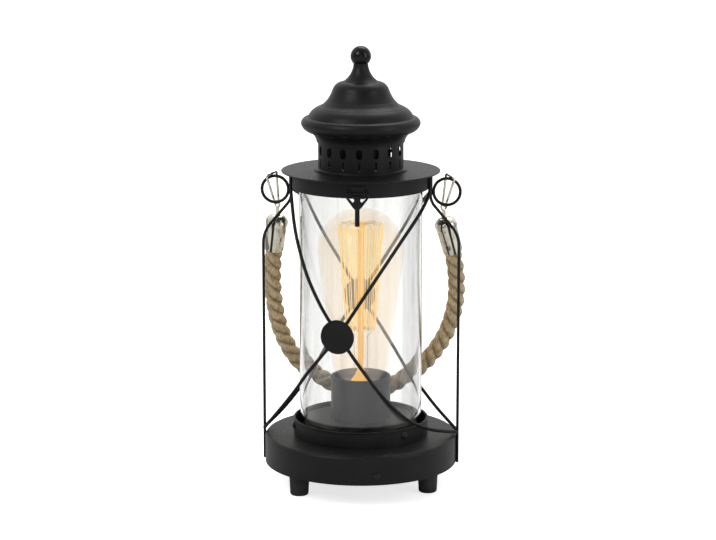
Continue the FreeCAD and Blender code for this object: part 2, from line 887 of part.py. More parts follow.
def make_bulb_cap():
    """The brass screw cap, crimped over the neck at the top."""
    body = new_body("bulb_cap")
    wall = s.bulb_wall / 2
    radius = s.bulb_cap_radius
    low = s.holder_base
    revolve(body, "cap_sleeve", [
        (radius - low, s.bulb_wall * 2),
        (radius, low),
        (radius, s.bulb_cap_height),
        (radius - wall, s.bulb_cap_height),
        (radius - wall, low + wall),
        (radius - low - wall, s.bulb_wall * 2),
    ])
    place(body, z=bulb_bottom)
    keep(body)


def make_bulb_insulator():
    """The dark glass button in the foot of the cap."""
    body = new_body("bulb_insulator")
    radius = s.bulb_cap_radius - s.holder_base - s.bulb_wall / 2
    revolve(body, "insulator_form", [
        (ZERO, s.bulb_wall * 0.9),
        (radius * 0.5, s.bulb_wall * 0.9),
        (radius - s.hole_gap / 3, s.bulb_wall * 2),
        (radius - s.hole_gap / 3, s.holder_base),
        (ZERO, s.holder_base),
    ])
    place(body, z=bulb_bottom)
    keep(body)


def make_bulb_contact():
    """The solder tip that meets the holder's centre contact."""
    body = new_body("bulb_contact")
    radius = (s.bulb_cap_radius - s.holder_base) * 0.42
    revolve(body, "contact_tip", [
        (ZERO, ZERO),
        (radius * 0.7, ZERO),
        (radius, s.bulb_wall * 0.85),
        (ZERO, s.bulb_wall * 0.85),
    ])
    place(body, z=bulb_bottom)
    keep(body)


def make_centre_contact():
    """The sprung brass tongue in the floor of the lamp holder."""
    body = new_body("centre_contact")
    outline = new_sketch(body, "tongue_outline", "XZ_Plane")
    sheet_thick = s.thread_shell_wall
    reach = s.thread_shell_radius * 0.55
    draw_loop(outline, [
        (-reach, ZERO),
        (-s.nipple_radius, ZERO),
        (reach / 3, bulb_bottom - holder_floor - sheet_thick - s.hole_gap / 6),
        (reach / 3, bulb_bottom - holder_floor - s.hole_gap / 6),
        (-s.nipple_radius, sheet_thick),
        (-reach, sheet_thick),
    ])
    tongue = body.newObject("PartDesign::Pad", "tongue")
    tongue.Profile = outline
    tongue.setExpression("Length", (reach * 0.7).text)
    tongue.SideType = "Symmetric"
    place(body, z=holder_floor)
    keep(body)


def make_bulb_stem():
    """The glass mount: a flared foot, a long rod and a button that carries the top supports."""
    body = new_body("bulb_stem")
    low = s.bulb_cap_height
    flare = s.bulb_cap_height * 0.8
    top = s.cage_bottom + s.cage_length + s.stem_radius
    rod = s.stem_radius
    revolve(body, "stem_form", [
        (ZERO, low),
        (s.stem_foot_radius, low),
        (s.stem_foot_radius, low + rod / 2, s.stem_foot_radius * 2.6),
        (rod, low + flare),
        (rod, top - rod * 2),
        (rod * 1.4, top - rod * 1.4),
        (rod * 1.4, top - rod * 0.6),
        (rod * 0.8, top),
        (ZERO, top),
    ])
    place(body, z=bulb_bottom)
    keep(body)


def cage_ring(radius, height, count, shift=0.0):
    """Evenly spaced points round the bulb's axis, on one level."""
    return [azimuth_point(radius, 360.0 * (index + shift) / count, height) for index in range(count)]


def make_bulb_filament():
    """The long filament: straight strands that zigzag between the top hooks and the lower ones."""
    count = int(round(s.filament_hooks.value))
    low = float(s.cage_bottom)
    high = float(s.cage_bottom + s.cage_length)
    feet = cage_ring(s.cage_foot_radius, low, count, 0.5)
    hooks = cage_ring(s.cage_top_radius, high, count)
    radius = s.filament_radius.value
    shape = None
    for index in range(count):
        for foot in (feet[index], feet[index - 1]):
            if index == 0 and foot is feet[index - 1]:
                continue
            along = hooks[index] - foot
            strand = Part.makeCylinder(radius, along.Length, foot, along)
            shape = strand if shape is None else shape.fuse(strand)
    for joint in hooks + feet:
        shape = shape.fuse(Part.makeSphere(radius * 1.3, joint))
    item = feature("bulb_filament", shape.removeSplitter())
    place(item, z=bulb_bottom)
    keep(item)


def make_filament_supports():
    """Spokes from the stem to every hook, and the two stiff leads from the flare."""
    count = int(round(s.filament_hooks.value))
    radius = s.support_radius.value
    rod = float(s.stem_radius)
    gap = float(s.filament_radius) * 1.6
    low = float(s.cage_bottom)
    high = float(s.cage_bottom + s.cage_length)
    spokes = []
    rows = ((s.cage_top_radius, high, 0.0, rod * 1.4), (s.cage_foot_radius, low, 0.5, rod))
    for ring_radius, level, shift, start in rows:
        for outer in cage_ring(float(ring_radius) - gap, level, count, shift):
            inner = azimuth_point(start, math.degrees(math.atan2(outer.x, -outer.y)), level)
            spokes.append(Part.makeCylinder(radius, (outer - inner).Length, inner, outer - inner))
    flare = float(s.bulb_cap_height) + float(s.bulb_cap_height) * 0.35
    for side in (-1, 1):
        foot = Vector(side * float(s.stem_foot_radius) * 0.75, 0, flare)
        top = Vector(side * (float(s.cage_foot_radius) + gap * 2), 0, low - gap * 2)
        spokes.append(Part.makeCylinder(radius, (top - foot).Length, foot, top - foot))
    item = feature("filament_supports", Part.makeCompound(spokes))
    place(item, z=bulb_bottom)
    keep(item)


# ---------------------------------------------------------------- cap
def pressed(points, wall):
    """The outline of a pressed shell. A point is (radius, height, normal's angle, arc to the next).

    The arc's radius is positive where the sheet bows outwards, negative where it bows in, and
    None for a straight stretch. Points run upwards along the outside.
    """
    outer, inner = [], []
    for index, (radius, height, normal, arc) in enumerate(points):
        corner = (radius, height)
        outer.append(corner if arc is None or index == len(points) - 1 else corner + (-arc,))
    for index in range(len(points) - 1, -1, -1):
        radius, height, normal, _ = points[index]
        turn = math.radians(normal)
        corner = (radius - wall * round(math.cos(turn), 4), height - wall * round(math.sin(turn), 4))
        arc = points[index - 1][3] if index > 0 else None
        inner.append(corner if arc is None else corner + (arc - wall,))
    return outer + inner


def make_cap_skirt():
    """The fixed band round the top of the glass, its lower edge turned in."""
    body = new_body("cap_skirt")
    inner = s.skirt_radius - s.skirt_wall
    revolve(body, "skirt_band", [
        (inner - s.skirt_wall, s.skirt_wall / 2),
        (inner, ZERO),
        (s.skirt_radius - s.skirt_wall / 2, ZERO),
        (s.skirt_radius, s.skirt_wall / 2),
        (s.skirt_radius, s.skirt_height - s.hole_gap / 3),
        (inner, s.skirt_height - s.hole_gap / 3),
        (inner, s.skirt_wall),
        (inner - s.skirt_wall, s.skirt_wall),
    ])
    place(body, z=s.skirt_bottom)
    keep(body)


def make_lid_disc():
    """The flat lid with a rolled edge and a round hole under the vent gallery."""
    body = new_body("lid_disc")
    top = s.disc_thick
    roll = s.disc_rim / 2
    revolve(body, "disc_form", [
        (s.disc_hole_radius, ZERO),
        (s.disc_radius - s.disc_rim, ZERO),
        (s.disc_radius - roll, -(roll - top / 2) * 2),
        (s.disc_radius, top / 2 - roll / 2),
        (s.disc_radius, top / 2 + roll / 2),
        (s.disc_radius - roll, top),
        (s.disc_hole_radius, top),
    ])
    place(body, z=skirt_top)
    keep(body)


def slot_sketch(body, name, width, low, height, azimuth):
    """An upright slot with round ends, on a plane turned to an azimuth."""
    sketch = new_sketch(body, name, "XZ_Plane")
    turn_sketch(sketch, azimuth)
    half = width / 2
    draw_loop(sketch, [
        (-half, low + half),
        (-half, low + height - half, half),
        (ZERO, low + height, half),
        (half, low + height - half),
        (half, low + half, half),
        (ZERO, low, half),
    ])
    return sketch


def make_vent_gallery():
    """The pierced tube between lid and roof: round-ended windows with a slit below each gap."""
    body = new_body("vent_gallery")
    inner = s.gallery_radius - s.gallery_wall
    flange = s.gallery_radius + s.gallery_flange
    revolve(body, "gallery_tube", [
        (inner, ZERO),
        (flange, ZERO),
        (flange, s.gallery_wall),
        (s.gallery_radius + s.gallery_wall, s.gallery_wall, -(s.gallery_wall * 1.2)),
        (s.gallery_radius, s.gallery_wall * 2),
        (s.gallery_radius, s.gallery_height),
        (inner, s.gallery_height),
    ])
    doc.recompute()
    reach = s.gallery_radius * 1.2
    window = slot_sketch(body, "window_outline", s.window_width, s.window_bottom, s.window_height, ZERO)
    cuts = [one_side_cut(body, "window", window, reach, reverse=True)]
    doc.recompute()
    slit = slot_sketch(body, "slit_outline", s.slit_width, s.slit_bottom, s.slit_height, ZERO)
    cuts.append(one_side_cut(body, "slit", slit, reach, reverse=True))
    around(body, cuts, int(round(s.window_count.value)))
    place(body, z=disc_top, turn=s.window_azimuth)
    keep(body)


def make_roof_cap():
    """The pressed roof: a flare under a rolled brim, and a low dome above it."""
    body = new_body("roof_cap")
    neck = s.gallery_radius + s.roof_wall + s.hole_gap / 3
    brim = s.brim_height
    low = brim - s.brim_tube * 1.35
    start = s.gallery_height - s.roof_wall * 2
    dome_low = brim + s.brim_tube
    revolve(body, "roof_shell", pressed([
        (neck, start, 0.0, -s.brim_tube * 2.2),
        (s.flare_radius, low, -35.0, s.brim_tube * 1.75),
        (s.brim_radius, brim, 0.0, s.brim_tube),
        (s.dome_radius, dome_low, 62.0, s.dome_height * 1.55),
        (s.crown_foot_radius, dome_low + s.dome_height, 80.0, None),
        (s.crown_waist_radius, dome_low + s.dome_height + s.roof_wall / 2, 90.0, None),
    ], s.roof_wall))
    place(body, z=disc_top)
    keep(body)


def make_roof_crown():
    """The bell above the dome: a flared foot, a round shoulder and a hollow spire."""
    body = new_body("roof_crown")
    wall = s.roof_wall
    revolve(body, "crown_shell", pressed([
        (s.crown_foot_radius + wall, wall, 30.0, -s.crown_foot_radius),
        (s.crown_waist_radius, s.crown_waist_height, 12.0, s.crown_waist_radius * 0.42),
        (s.crown_shoulder_radius, s.crown_shoulder_height, 62.0, -s.crown_height * 0.55),
        (s.neck_radius, s.crown_height, 45.0, None),
        (s.stud_radius + s.hole_gap / 2, s.crown_height, 90.0, None),
    ], wall))
    place(body, z=crown_bottom)
    keep(body)


def make_finial_ball():
    """The ball on top, flattened where it sits on the spire and bored for its stud."""
    body = new_body("finial_ball")
    seat = s.ball_radius * 0.71
    seat_level = s.ball_radius * 0.296
    bore_radius = s.stud_radius + s.hole_gap / 6
    revolve(body, "ball_form", [
        (bore_radius, seat_level),
        (seat, seat_level, -s.ball_radius),
        (s.ball_radius, s.ball_radius, -s.ball_radius),
        (ZERO, s.ball_radius * 2),
        (ZERO, s.ball_radius * 1.3),
        (bore_radius, s.ball_radius * 1.3),
    ])
    place(body, z=crown_top - seat_level)
    keep(body)


def make_finial_stud():
    """The threaded stud between the ball and the nut inside the spire."""
    stud = doc.addObject("Part::Cylinder", "finial_stud")
    stud.Label = "finial_stud"
    stud.setExpression("Radius", s.stud_radius.text)
    stud.setExpression("Height", s.stud_length.text)
    place(stud, z=crown_top + s.ball_radius * 0.9 - s.stud_length)
    keep(stud)


def make_finial_nut():
    """The nut that draws the ball down on the spire."""
    body = new_body("finial_nut")
    outline = new_sketch(body, "finial_nut_outline", "XY_Plane")
    reach = s.finial_nut_flats / math.sqrt(3)
    corners = []
    for step in range(6):
        angle = math.radians(60 * step)
        corners.append((reach * math.cos(angle), reach * math.sin(angle)))
    draw_loop(outline, corners)
    draw_circle(outline, ZERO, ZERO, s.stud_radius + s.hole_gap / 6)
    nut = body.newObject("PartDesign::Pad", "finial_nut_form")
    nut.Profile = outline
    nut.setExpression("Length", s.finial_nut_thick.text)
    place(body, z=crown_top - s.roof_wall - s.hole_gap / 3 - s.finial_nut_thick)
    keep(body)


# ---------------------------------------------------------------- wire cage
def make_upright(side, label):
    """A wire that stands on the drum's side, leans in above and is welded up the skirt."""
    points = [
        Vector(side * float(upright_reach), 0, s.upright_foot.value),
        Vector(side * float(upright_reach), 0, s.upright_bend.value),
        Vector(side * float(stem_radius_on_skirt), 0, s.upright_top_bend.value),
        Vector(side * float(stem_radius_on_skirt), 0, float(skirt_top - s.hole_gap)),
    ]
    path, _ = bent_path(points, radii=[s.glass_radius / 2, s.wire_radius * 12])
    keep(feature(label, tube(path, s.wire_radius)))


def make_ring(side, label):
    """The round eye welded to the upright, which the handle's link hangs on."""
    ring = doc.addObject("Part::Torus", label)
    ring.Label = label
    ring.setExpression("Radius1", s.ring_radius.text)
    ring.setExpression("Radius2", s.ring_wire.text)
    ring.Placement.Rotation = FreeCAD.Rotation(Vector(1, 0, 0), 90)
    ring.setExpression("Placement.Base.x", (ring_reach * side).text)
    ring.setExpression("Placement.Base.z", s.ring_height.text)
    keep(ring)


# Where each cross wire runs between the skirt and its disc, then between the disc and its foot:
# (azimuth, height, how far outside the plain cage radius), by hand from top to bottom.
CROSS_ROUTES = {
    "front_wire_falling": (
        [(-68.0, 189.2, 1.4), (-47.0, 161.1, 0.9), (-29.0, 138.4, 0.3)],
        [(-1.0, 105.5, 0.3), (22.0, 78.5, 0.8), (44.0, 58.5, 2.6), (66.0, 47.5, 9.0)],
    ),
    "front_wire_rising": (
        [(62.6, 207.6, 1.4), (32.0, 180.4, 0.9), (4.3, 145.1, 0.3)],
        [(-28.0, 106.0, 0.3), (-45.0, 90.0, 0.8), (-60.0, 75.5, 2.0), (-76.4, 58.5, 9.0)],
    ),
    "rear_wire_falling": (
        [(-112.0, 211.8, 1.4), (-138.0, 180.6, 0.9), (-160.3, 151.8, 0.3)],
        [(-190.0, 112.3, 0.3), (-209.0, 90.0, 0.8), (-228.4, 70.5, 2.6), (-248.0, 54.5, 9.0)],
    ),
    "rear_wire_rising": (
        [(122.0, 208.0, 1.4), (150.0, 178.0, 0.9), (172.0, 149.5, 0.3)],
        [(200.0, 114.5, 0.3), (221.0, 90.0, 0.8), (242.0, 65.5, 3.0), (258.0, 50.5, 11.0)],
    ),
}


def make_cross_wire(label, depth, skirt_azimuth, disc_azimuth, disc_height, foot_azimuth):
    """A wire from the skirt, under the disc of its pair, to a weld beside an upright's foot."""
    radius = float(cross_radius) + depth
    above, below = CROSS_ROUTES[label]
    skirt_levels = (float(skirt_top - s.hole_gap * 3), float(s.skirt_bottom - s.wire_radius * 3))
    points = [azimuth_point(stem_radius_on_skirt, skirt_azimuth, level) for level in skirt_levels]
    centre = (disc_azimuth.value, disc_height.value, 0.0)
    way = above + [centre] + below
    points += [azimuth_point(radius + out, azimuth, height) for azimuth, height, out in way]
    points.append(azimuth_point(upright_reach, foot_azimuth, s.cross_foot_height))
    path, _ = bent_path(points)
    keep(feature(label, tube(path, s.wire_radius)))


def make_cross_wires():
    """Two wires cross on each face of the cage, one of the pair just outside the other."""
    step = float(s.wire_radius * 2 + s.weld_gap * 2)
    side = 90.0
    foot = math.degrees(2.2 * s.wire_radius.value / float(upright_reach))
    weld = math.degrees(4.2 * s.wire_radius.value / float(stem_radius_on_skirt))
    front = (s.front_disc_azimuth, s.front_disc_height)
    rear = (s.rear_disc_azimuth, s.rear_disc_height)
    behind = (s.rear_disc_azimuth - 360.0, s.rear_disc_height)
    make_cross_wire("front_wire_falling", 0.0, weld - side, *front, side - foot)
    make_cross_wire("front_wire_rising", step, side - weld, *front, foot - side)
    make_cross_wire("rear_wire_falling", 0.0, -side - weld, *behind, foot - side * 3)
    make_cross_wire("rear_wire_rising", step, side + weld, *rear, side * 3 - foot)


def make_cross_disc(label, disc_azimuth, disc_height):
    """The flat round plate over the crossing of two wires."""
    disc = doc.addObject("Part::Cylinder", label)
    disc.Label = label
    disc.setExpression("Radius", s.cross_disc_radius.text)
    disc.setExpression("Height", s.cross_disc_thick.text)
    stand = float(cross_radius + s.wire_radius * 3 + s.weld_gap * 3)
    centre = azimuth_point(stand, disc_azimuth, disc_height)
    outward = Vector(centre.x, centre.y, 0)
    disc.Placement = FreeCAD.Placement(centre, FreeCAD.Rotation(Vector(0, 0, 1), outward))
    keep(disc)


# ---------------------------------------------------------------- latch and lid hinge
def tangent_plate(body, name, width, low, high, thick, gap):
    """A flat plate standing against the front of the skirt, in the body's own frame."""
    outline = new_sketch(body, f"{name}_outline", "XZ_Plane", gap)
    half = width / 2
    draw_loop(outline, [(-half, low), (half, low), (half, high), (-half, high)])
    plate = body.newObject("PartDesign::Pad", name)
    plate.Profile = outline
    plate.setExpression("Length", thick.text)
    return plate


def make_latch_bracket():
    """A plate on the skirt with two ears that carry the latch's pin."""
    body = new_body("latch_bracket")
    half = s.latch_plate_width / 2
    plate_gap = s.skirt_radius + s.weld_gap
    ear_top = s.latch_pin_height + s.latch_pin_radius * 2.4
    ear_low = s.latch_sheet * 1.5
    reach = latch_pin_y + s.latch_pin_radius * 2 - plate_gap
    tangent_plate(body, "bracket_plate", s.latch_plate_width, ZERO, s.latch_plate_height,
                  s.latch_sheet, plate_gap)
    for side, ear in ((-1, "left_ear"), (1, "right_ear")):
        outline = new_sketch(body, f"{ear}_outline", "XZ_Plane", plate_gap)
        inner = (half - s.latch_sheet) * side
        outer = half * side
        draw_loop(outline, [(inner, ear_low), (outer, ear_low), (outer, ear_top), (inner, ear_top)])
        pad = body.newObject("PartDesign::Pad", ear)
        pad.Profile = outline
        pad.setExpression("Length", reach.text)
    doc.recompute()
    bore(body, "pin_hole", "YZ_Plane", -latch_pin_y, s.latch_pin_height,
         s.latch_pin_radius + s.latch_pin_gap)
    place(body, x=s.latch_offset, z=s.skirt_bottom)
    keep(body)


def make_latch_pin():
    """The pin across the latch's fork."""
    pin = doc.addObject("Part::Cylinder", "latch_pin")
    pin.Label = "latch_pin"
    pin.setExpression("Radius", s.latch_pin_radius.text)
    pin.setExpression("Height", (s.latch_width + s.latch_sheet * 1.2).text)
    pin.Placement.Rotation = FreeCAD.Rotation(Vector(0, 1, 0), 90)
    pin.setExpression("Placement.Base.x", (s.latch_offset - s.latch_width / 2 - s.latch_sheet * 0.6).text)
    pin.setExpression("Placement.Base.y", (-latch_pin_y).text)
    pin.setExpression("Placement.Base.z", latch_pin_z.text)
    keep(pin)


def make_latch_lever():
    """A flat fork hung on the pin, with a tongue between its arms and a narrow stem to pull."""
    body = new_body("latch_lever")
    half = s.latch_width / 2
    arm = s.latch_arm
    stem = s.latch_stem_width / 2
    crotch = -s.latch_fork_height
    eye = s.latch_pin_radius * 2
    outline = new_sketch(body, "lever_outline", "XZ_Plane", latch_pin_y - s.latch_sheet * 0.75)
    draw_loop(outline, [
        (-stem, -s.latch_length),
        (stem, -s.latch_length),
        (stem, crotch - stem),
        (stem + arm, crotch),
        (half, -s.latch_pin_height),
        (half, eye),
        (half - arm, eye),
        (half - arm, -s.latch_pin_height * 0.9),
        (stem + arm * 0.9, crotch * 0.66),
        (stem * 0.7, -s.latch_pin_height * 1.1),
        (-stem * 0.7, -s.latch_pin_height * 1.1),
        (-stem - arm * 0.9, crotch * 0.66),
        (-half + arm, -s.latch_pin_height * 0.9),
        (-half + arm, eye),
        (-half, eye),
        (-half, -s.latch_pin_height),
        (-stem - arm, crotch),
        (-stem, crotch - stem),
    ])
    lever = body.newObject("PartDesign::Pad", "lever_form")
    lever.Profile = outline
    lever.setExpression("Length", (s.latch_sheet * 1.5).text)
    doc.recompute()
    for side in (-1, 1):
        name = "left_knuckle" if side < 0 else "right_knuckle"
        ring = new_sketch(body, f"{name}_ring", "YZ_Plane", (half - arm / 2) * side - arm / 2)
        draw_circle(ring, -latch_pin_y, ZERO, eye)
        pad = body.newObject("PartDesign::Pad", name)
        pad.Profile = ring
        pad.setExpression("Length", arm.text)
        doc.recompute()
    bore(body, "pin_way", "YZ_Plane", -latch_pin_y, ZERO, s.latch_pin_radius + s.latch_pin_gap)
    place(body, x=s.latch_offset, z=latch_pin_z)
    keep(body)


def hinge_knuckle(body, name, start, length):
    """One barrel of the hinge, along X from start."""
    ring = new_sketch(body, f"{name}_ring", "YZ_Plane", start)
    draw_circle(ring, hinge_axis_y, ZERO, s.hinge_knuckle)
    pad = body.newObject("PartDesign::Pad", name)
    pad.Profile = ring
    pad.setExpression("Length", length.text)
    doc.recompute()


def make_skirt_hinge_leaf():
    """The fixed half of the lid's hinge: a leaf on the skirt and its two outer barrels."""
    body = new_body("skirt_hinge_leaf")
    half = s.hinge_width / 2
    third = s.hinge_width / 3
    back = s.skirt_radius + s.weld_gap
    foot = s.skirt_bottom + s.hinge_knuckle - hinge_axis_z
    for name, low in (("left", -half), ("right", third / 2)):
        length = third - s.hinge_play / 2
        start = low if name == "left" else low + s.hinge_play / 2
        hinge_knuckle(body, f"{name}_barrel", start, length)
        web = new_sketch(body, f"{name}_web_outline", "YZ_Plane", start)
        draw_loop(web, [
            (back, foot),
            (back + s.hinge_leaf, foot),
            (hinge_axis_y, -s.hinge_knuckle),
            (hinge_axis_y, ZERO),
            (back, ZERO),
        ])
        pad = body.newObject("PartDesign::Pad", f"{name}_web")
        pad.Profile = web
        pad.setExpression("Length", length.text)
        doc.recompute()
    leaf = new_sketch(body, "leaf_outline", "YZ_Plane", -half)
    draw_loop(leaf, [
        (back, foot),
        (back + s.hinge_leaf, foot),
        (back + s.hinge_leaf, -s.hinge_knuckle - s.hinge_play),
        (back, -s.hinge_knuckle - s.hinge_play),
    ])
    pad = body.newObject("PartDesign::Pad", "leaf")
    pad.Profile = leaf
    pad.setExpression("Length", s.hinge_width.text)
    doc.recompute()
    bore(body, "hinge_pin_hole", "YZ_Plane", hinge_axis_y, ZERO, s.hinge_pin_radius + s.hinge_pin_gap)
    place(body, z=hinge_axis_z)
    keep(body)


def make_lid_hinge_leaf():
    """The lid's half of the hinge: the middle barrel and a leaf under the disc."""
    body = new_body("lid_hinge_leaf")
    third = s.hinge_width / 3 - s.hinge_play
    start = -third / 2
    under = skirt_top - s.hole_gap / 3 - hinge_axis_z
    reach = hinge_axis_y + s.hinge_knuckle * 1.8
    hinge_knuckle(body, "middle_barrel", start, third)
    web = new_sketch(body, "lid_web_outline", "YZ_Plane", start)
    draw_loop(web, [
        (hinge_axis_y, ZERO),
        (hinge_axis_y + s.hinge_knuckle, ZERO),
        (reach, under),
        (hinge_axis_y, under),
    ])
    pad = body.newObject("PartDesign::Pad", "lid_web")
    pad.Profile = web
    pad.setExpression("Length", third.text)
    doc.recompute()
    bore(body, "lid_pin_hole", "YZ_Plane", hinge_axis_y, ZERO, s.hinge_pin_radius + s.hinge_pin_gap)
    place(body, z=hinge_axis_z)
    keep(body)


def make_hinge_pin():
    """The pin through all three barrels."""
    pin = doc.addObject("Part::Cylinder", "hinge_pin")
    pin.Label = "hinge_pin"
    pin.setExpression("Radius", s.hinge_pin_radius.text)
    pin.setExpression("Height", (s.hinge_width + s.hinge_play * 2).text)
    pin.Placement.Rotation = FreeCAD.Rotation(Vector(0, 1, 0), 90)
    pin.setExpression("Placement.Base.x", (-s.hinge_width / 2 - s.hinge_play).text)
    pin.setExpression("Placement.Base.y", hinge_axis_y.text)
    pin.setExpression("Placement.Base.z", hinge_axis_z.text)
    keep(pin)


# ---------------------------------------------------------------- rope handle
# The rope's route in the plane of the handle: (sideways, down from the swing axis), left to right.
ROPE_ROUTE = [
    (-63.06, 40.7),
    (-66.8, 66.1),
    (-68.3, 95.0),
    (-65.0, 127.0),
    (-52.5, 155.5),
    (-30.0, 173.5),
    (-5.0, 180.0),
    (20.0, 175.0),
    (42.5, 156.0),
    (58.3, 133.0),
    (65.5, 112.0),
    (68.6, 93.0),
    (67.59, 66.1),
    (61.72, 40.7),
]


def hang(item):
    """Tilts a piece drawn hanging straight down from the swing axis, and lifts it to that axis."""
    item.Placement = FreeCAD.Placement(Vector(0, 0, 0), FreeCAD.Rotation(Vector(1, 0, 0), 1))
    item.setExpression("Placement.Rotation.Angle", f"{s.handle_lean.text} * 1deg")
    item.setExpression("Placement.Base.z", s.handle_axis_height.text)
    keep(item)


def make_link(side, reach, label):
    """A triangular wire link: it loops over the ring and narrows to the eye below."""
    turn = math.radians(s.link_turn.value)
    half = s.link_width.value / 2
    apex_half = s.link_apex_radius.value
    across = Vector(-side * math.cos(turn), math.sin(turn), 0)
    top = Vector(side * float(ring_reach + s.link_offset), -s.link_shift.value, s.link_rise.value)
    apex = Vector(side * float(reach), 0, -s.link_reach.value)
    joint = Vector(across) * (s.hole_gap.value / 4)
    points = [
        top + joint,
        top + across * half,
        apex + across * apex_half,
        apex - across * apex_half,
        top - across * half,
        top - joint,
    ]
    corner = s.link_wire.value * 2.0
    path, _ = bent_path(points, share=0.49, radii=[corner, apex_half, apex_half, corner])
    hang(feature(label, tube(path, s.link_wire)))


def make_eye(side, reach, label):
    """The wire eye on the link's apex, with the stem that swivels in the ferrule's cap."""
    centre = -s.link_reach + s.link_wire * 2.35 - s.eye_radius
    ring = doc.addObject("Part::Torus", f"{label}_ring")
    ring.setExpression("Radius1", s.eye_radius.text)
    ring.setExpression("Radius2", s.eye_wire.text)
    turn = math.radians(s.link_turn.value)
    along = Vector(-side * math.cos(turn), math.sin(turn), 0)
    ring.Placement.Rotation = FreeCAD.Rotation(Vector(0, 0, 1), along)
    ring.setExpression("Placement.Base.x", (reach * side).text)
    ring.setExpression("Placement.Base.z", centre.text)
    stem_top = centre - s.eye_radius
    stem_low = -s.ferrule_start - s.ferrule_floor / 3
    stem = doc.addObject("Part::Cylinder", f"{label}_stem")
    stem.setExpression("Radius", s.handle_stem_radius.text)
    stem.setExpression("Height", (stem_top - stem_low).text)
    stem.setExpression("Placement.Base.x", (reach * side).text)
    stem.setExpression("Placement.Base.z", stem_low.text)
    eye = doc.addObject("Part::Fuse", label)
    eye.Label = label
    eye.Base = ring
    eye.Tool = stem
    hang(eye)


def make_ferrule(side, reach, lean, label):
    """The metal cup that grips the rope's end: a domed cap on a tapered, slit sleeve."""
    body = new_body(label)
    sketch = new_sketch(body, f"{label}_outline", "XZ_Plane")
    sketch.AttachmentOffset = FreeCAD.Placement(Vector(0, 0, 0), FreeCAD.Rotation(Vector(0, 0, 1), 1))
    sketch.setExpression("AttachmentOffset.Rotation.Angle", f"{(lean * side).text} * 1deg")
    sketch.setExpression("AttachmentOffset.Base.x", (reach * side).text)
    sketch.setExpression("AttachmentOffset.Base.y", (-s.ferrule_start).text)
    way = s.handle_stem_radius + s.hole_gap * 2
    bore_radius = s.rope_radius + s.rope_gap
    cap_edge = s.ferrule_cap_height * 0.62
    draw_loop(sketch, [
        (way, ZERO),
        (s.ferrule_cap_radius * 0.42, ZERO, s.ferrule_cap_radius * 0.95),
        (s.ferrule_cap_radius, -cap_edge),
        (s.ferrule_cap_radius, -s.ferrule_cap_height),
        (s.ferrule_top_radius, -s.ferrule_cap_height - s.hole_gap),
        (s.ferrule_end_radius, -s.ferrule_length),
        (bore_radius, -s.ferrule_length),
        (bore_radius, -s.ferrule_floor),
        (way, -s.ferrule_floor * 0.6),
    ])
    turned = body.newObject("PartDesign::Revolution", f"{label}_form")
    turned.Profile = sketch
    turned.ReferenceAxis = (sketch, ["V_Axis"])
    turned.Angle = 360.0
    hang(body)


def make_rope():
    """The rope, from deep in one ferrule to deep in the other."""
    points = [Vector(across, 0, -down) for across, down in ROPE_ROUTE]
    path, bends = bent_path(points)
    solid = tube(path, s.rope_radius)
    expected = math.pi * s.rope_radius.value ** 2 * path.Length
    print("rope bend radii", [round(bend, 1) for bend in bends])
    print("rope length", round(path.Length, 1), "volume over section times length",
          round(solid.Volume / expected, 4))
    hang(feature("rope", solid))


# ---------------------------------------------------------------- assembly
make_base_drum()
make_base_plate()
make_feet()
make_foot_screws()
make_radial_screws("side_screws", s.drum_radius + s.weld_gap, base_plate_radius - s.tab_width / 2,
                   s.side_screw_head, s.side_screw_radius, drum_bottom + s.side_screw_height,
                   s.side_screw_azimuth)
make_cable_grommet()
make_terminal_block()
make_inner_leads()
make_glass_collar()
make_radial_screws("collar_screws", s.collar_radius + s.weld_gap,
                   s.glass_radius - s.glass_draw_in * 0.5 + s.hole_gap,
                   s.collar_screw_head, s.collar_screw_radius, drum_top + s.collar_screw_height,
                   s.collar_screw_azimuth)
make_seat_plate()
make_nipple_spacer()
make_nipple()
make_nipple_nut()
make_holder_cover()
make_lamp_holder()
make_thread_shell()
make_centre_contact()
make_glass_cylinder()
make_bulb_glass()
make_bulb_cap()
make_bulb_insulator()
make_bulb_contact()
make_bulb_stem()
make_bulb_filament()
make_filament_supports()
make_cap_skirt()
make_upright(-1, "left_upright")
make_upright(1, "right_upright")
make_ring(-1, "left_ring")
make_ring(1, "right_ring")
make_cross_wires()
make_cross_disc("front_disc", s.front_disc_azimuth, s.front_disc_height)
make_cross_disc("rear_disc", s.rear_disc_azimuth, s.rear_disc_height)
make_latch_bracket()
make_latch_pin()
make_latch_lever()
make_skirt_hinge_leaf()
make_hinge_pin()
make_lid_hinge_leaf()
make_lid_disc()
make_vent_gallery()
make_roof_cap()
make_roof_crown()
make_finial_ball()
make_finial_stud()
make_finial_nut()
for sign, prefix, reach, lean in (
    (-1, "left", s.left_handle_reach, s.left_ferrule_lean),
    (1, "right", s.right_handle_reach, s.right_ferrule_lean),
):
    make_link(sign, reach, f"{prefix}_link")
    make_eye(sign, reach, f"{prefix}_eye")
    make_ferrule(sign, reach, lean, f"{prefix}_ferrule")
make_rope()
doc.recompute()

failed = [item.Label for item in doc.Objects if {"Invalid", "Error"} & set(item.State)]
for item in SUBPARTS:
    if item.Shape.isNull() or not item.Shape.isValid() or not item.Shape.Solids:
        failed.append(item.Label)
if failed:
    raise RuntimeError("failed: " + ", ".join(failed))

os.makedirs("parts", exist_ok=True)
for item in SUBPARTS:
    item.Shape.exportStep(f"parts/{item.Label}.step")
    box = item.Shape.BoundBox
    print(f"{item.Label:20s} {len(item.Shape.Solids):2d} solids {item.Shape.Volume:10.1f} mm3 "
          f"x {box.XMin:6.1f}..{box.XMax:6.1f} y {box.YMin:6.1f}..{box.YMax:6.1f} "
          f"z {box.ZMin:6.1f}..{box.ZMax:6.1f}")
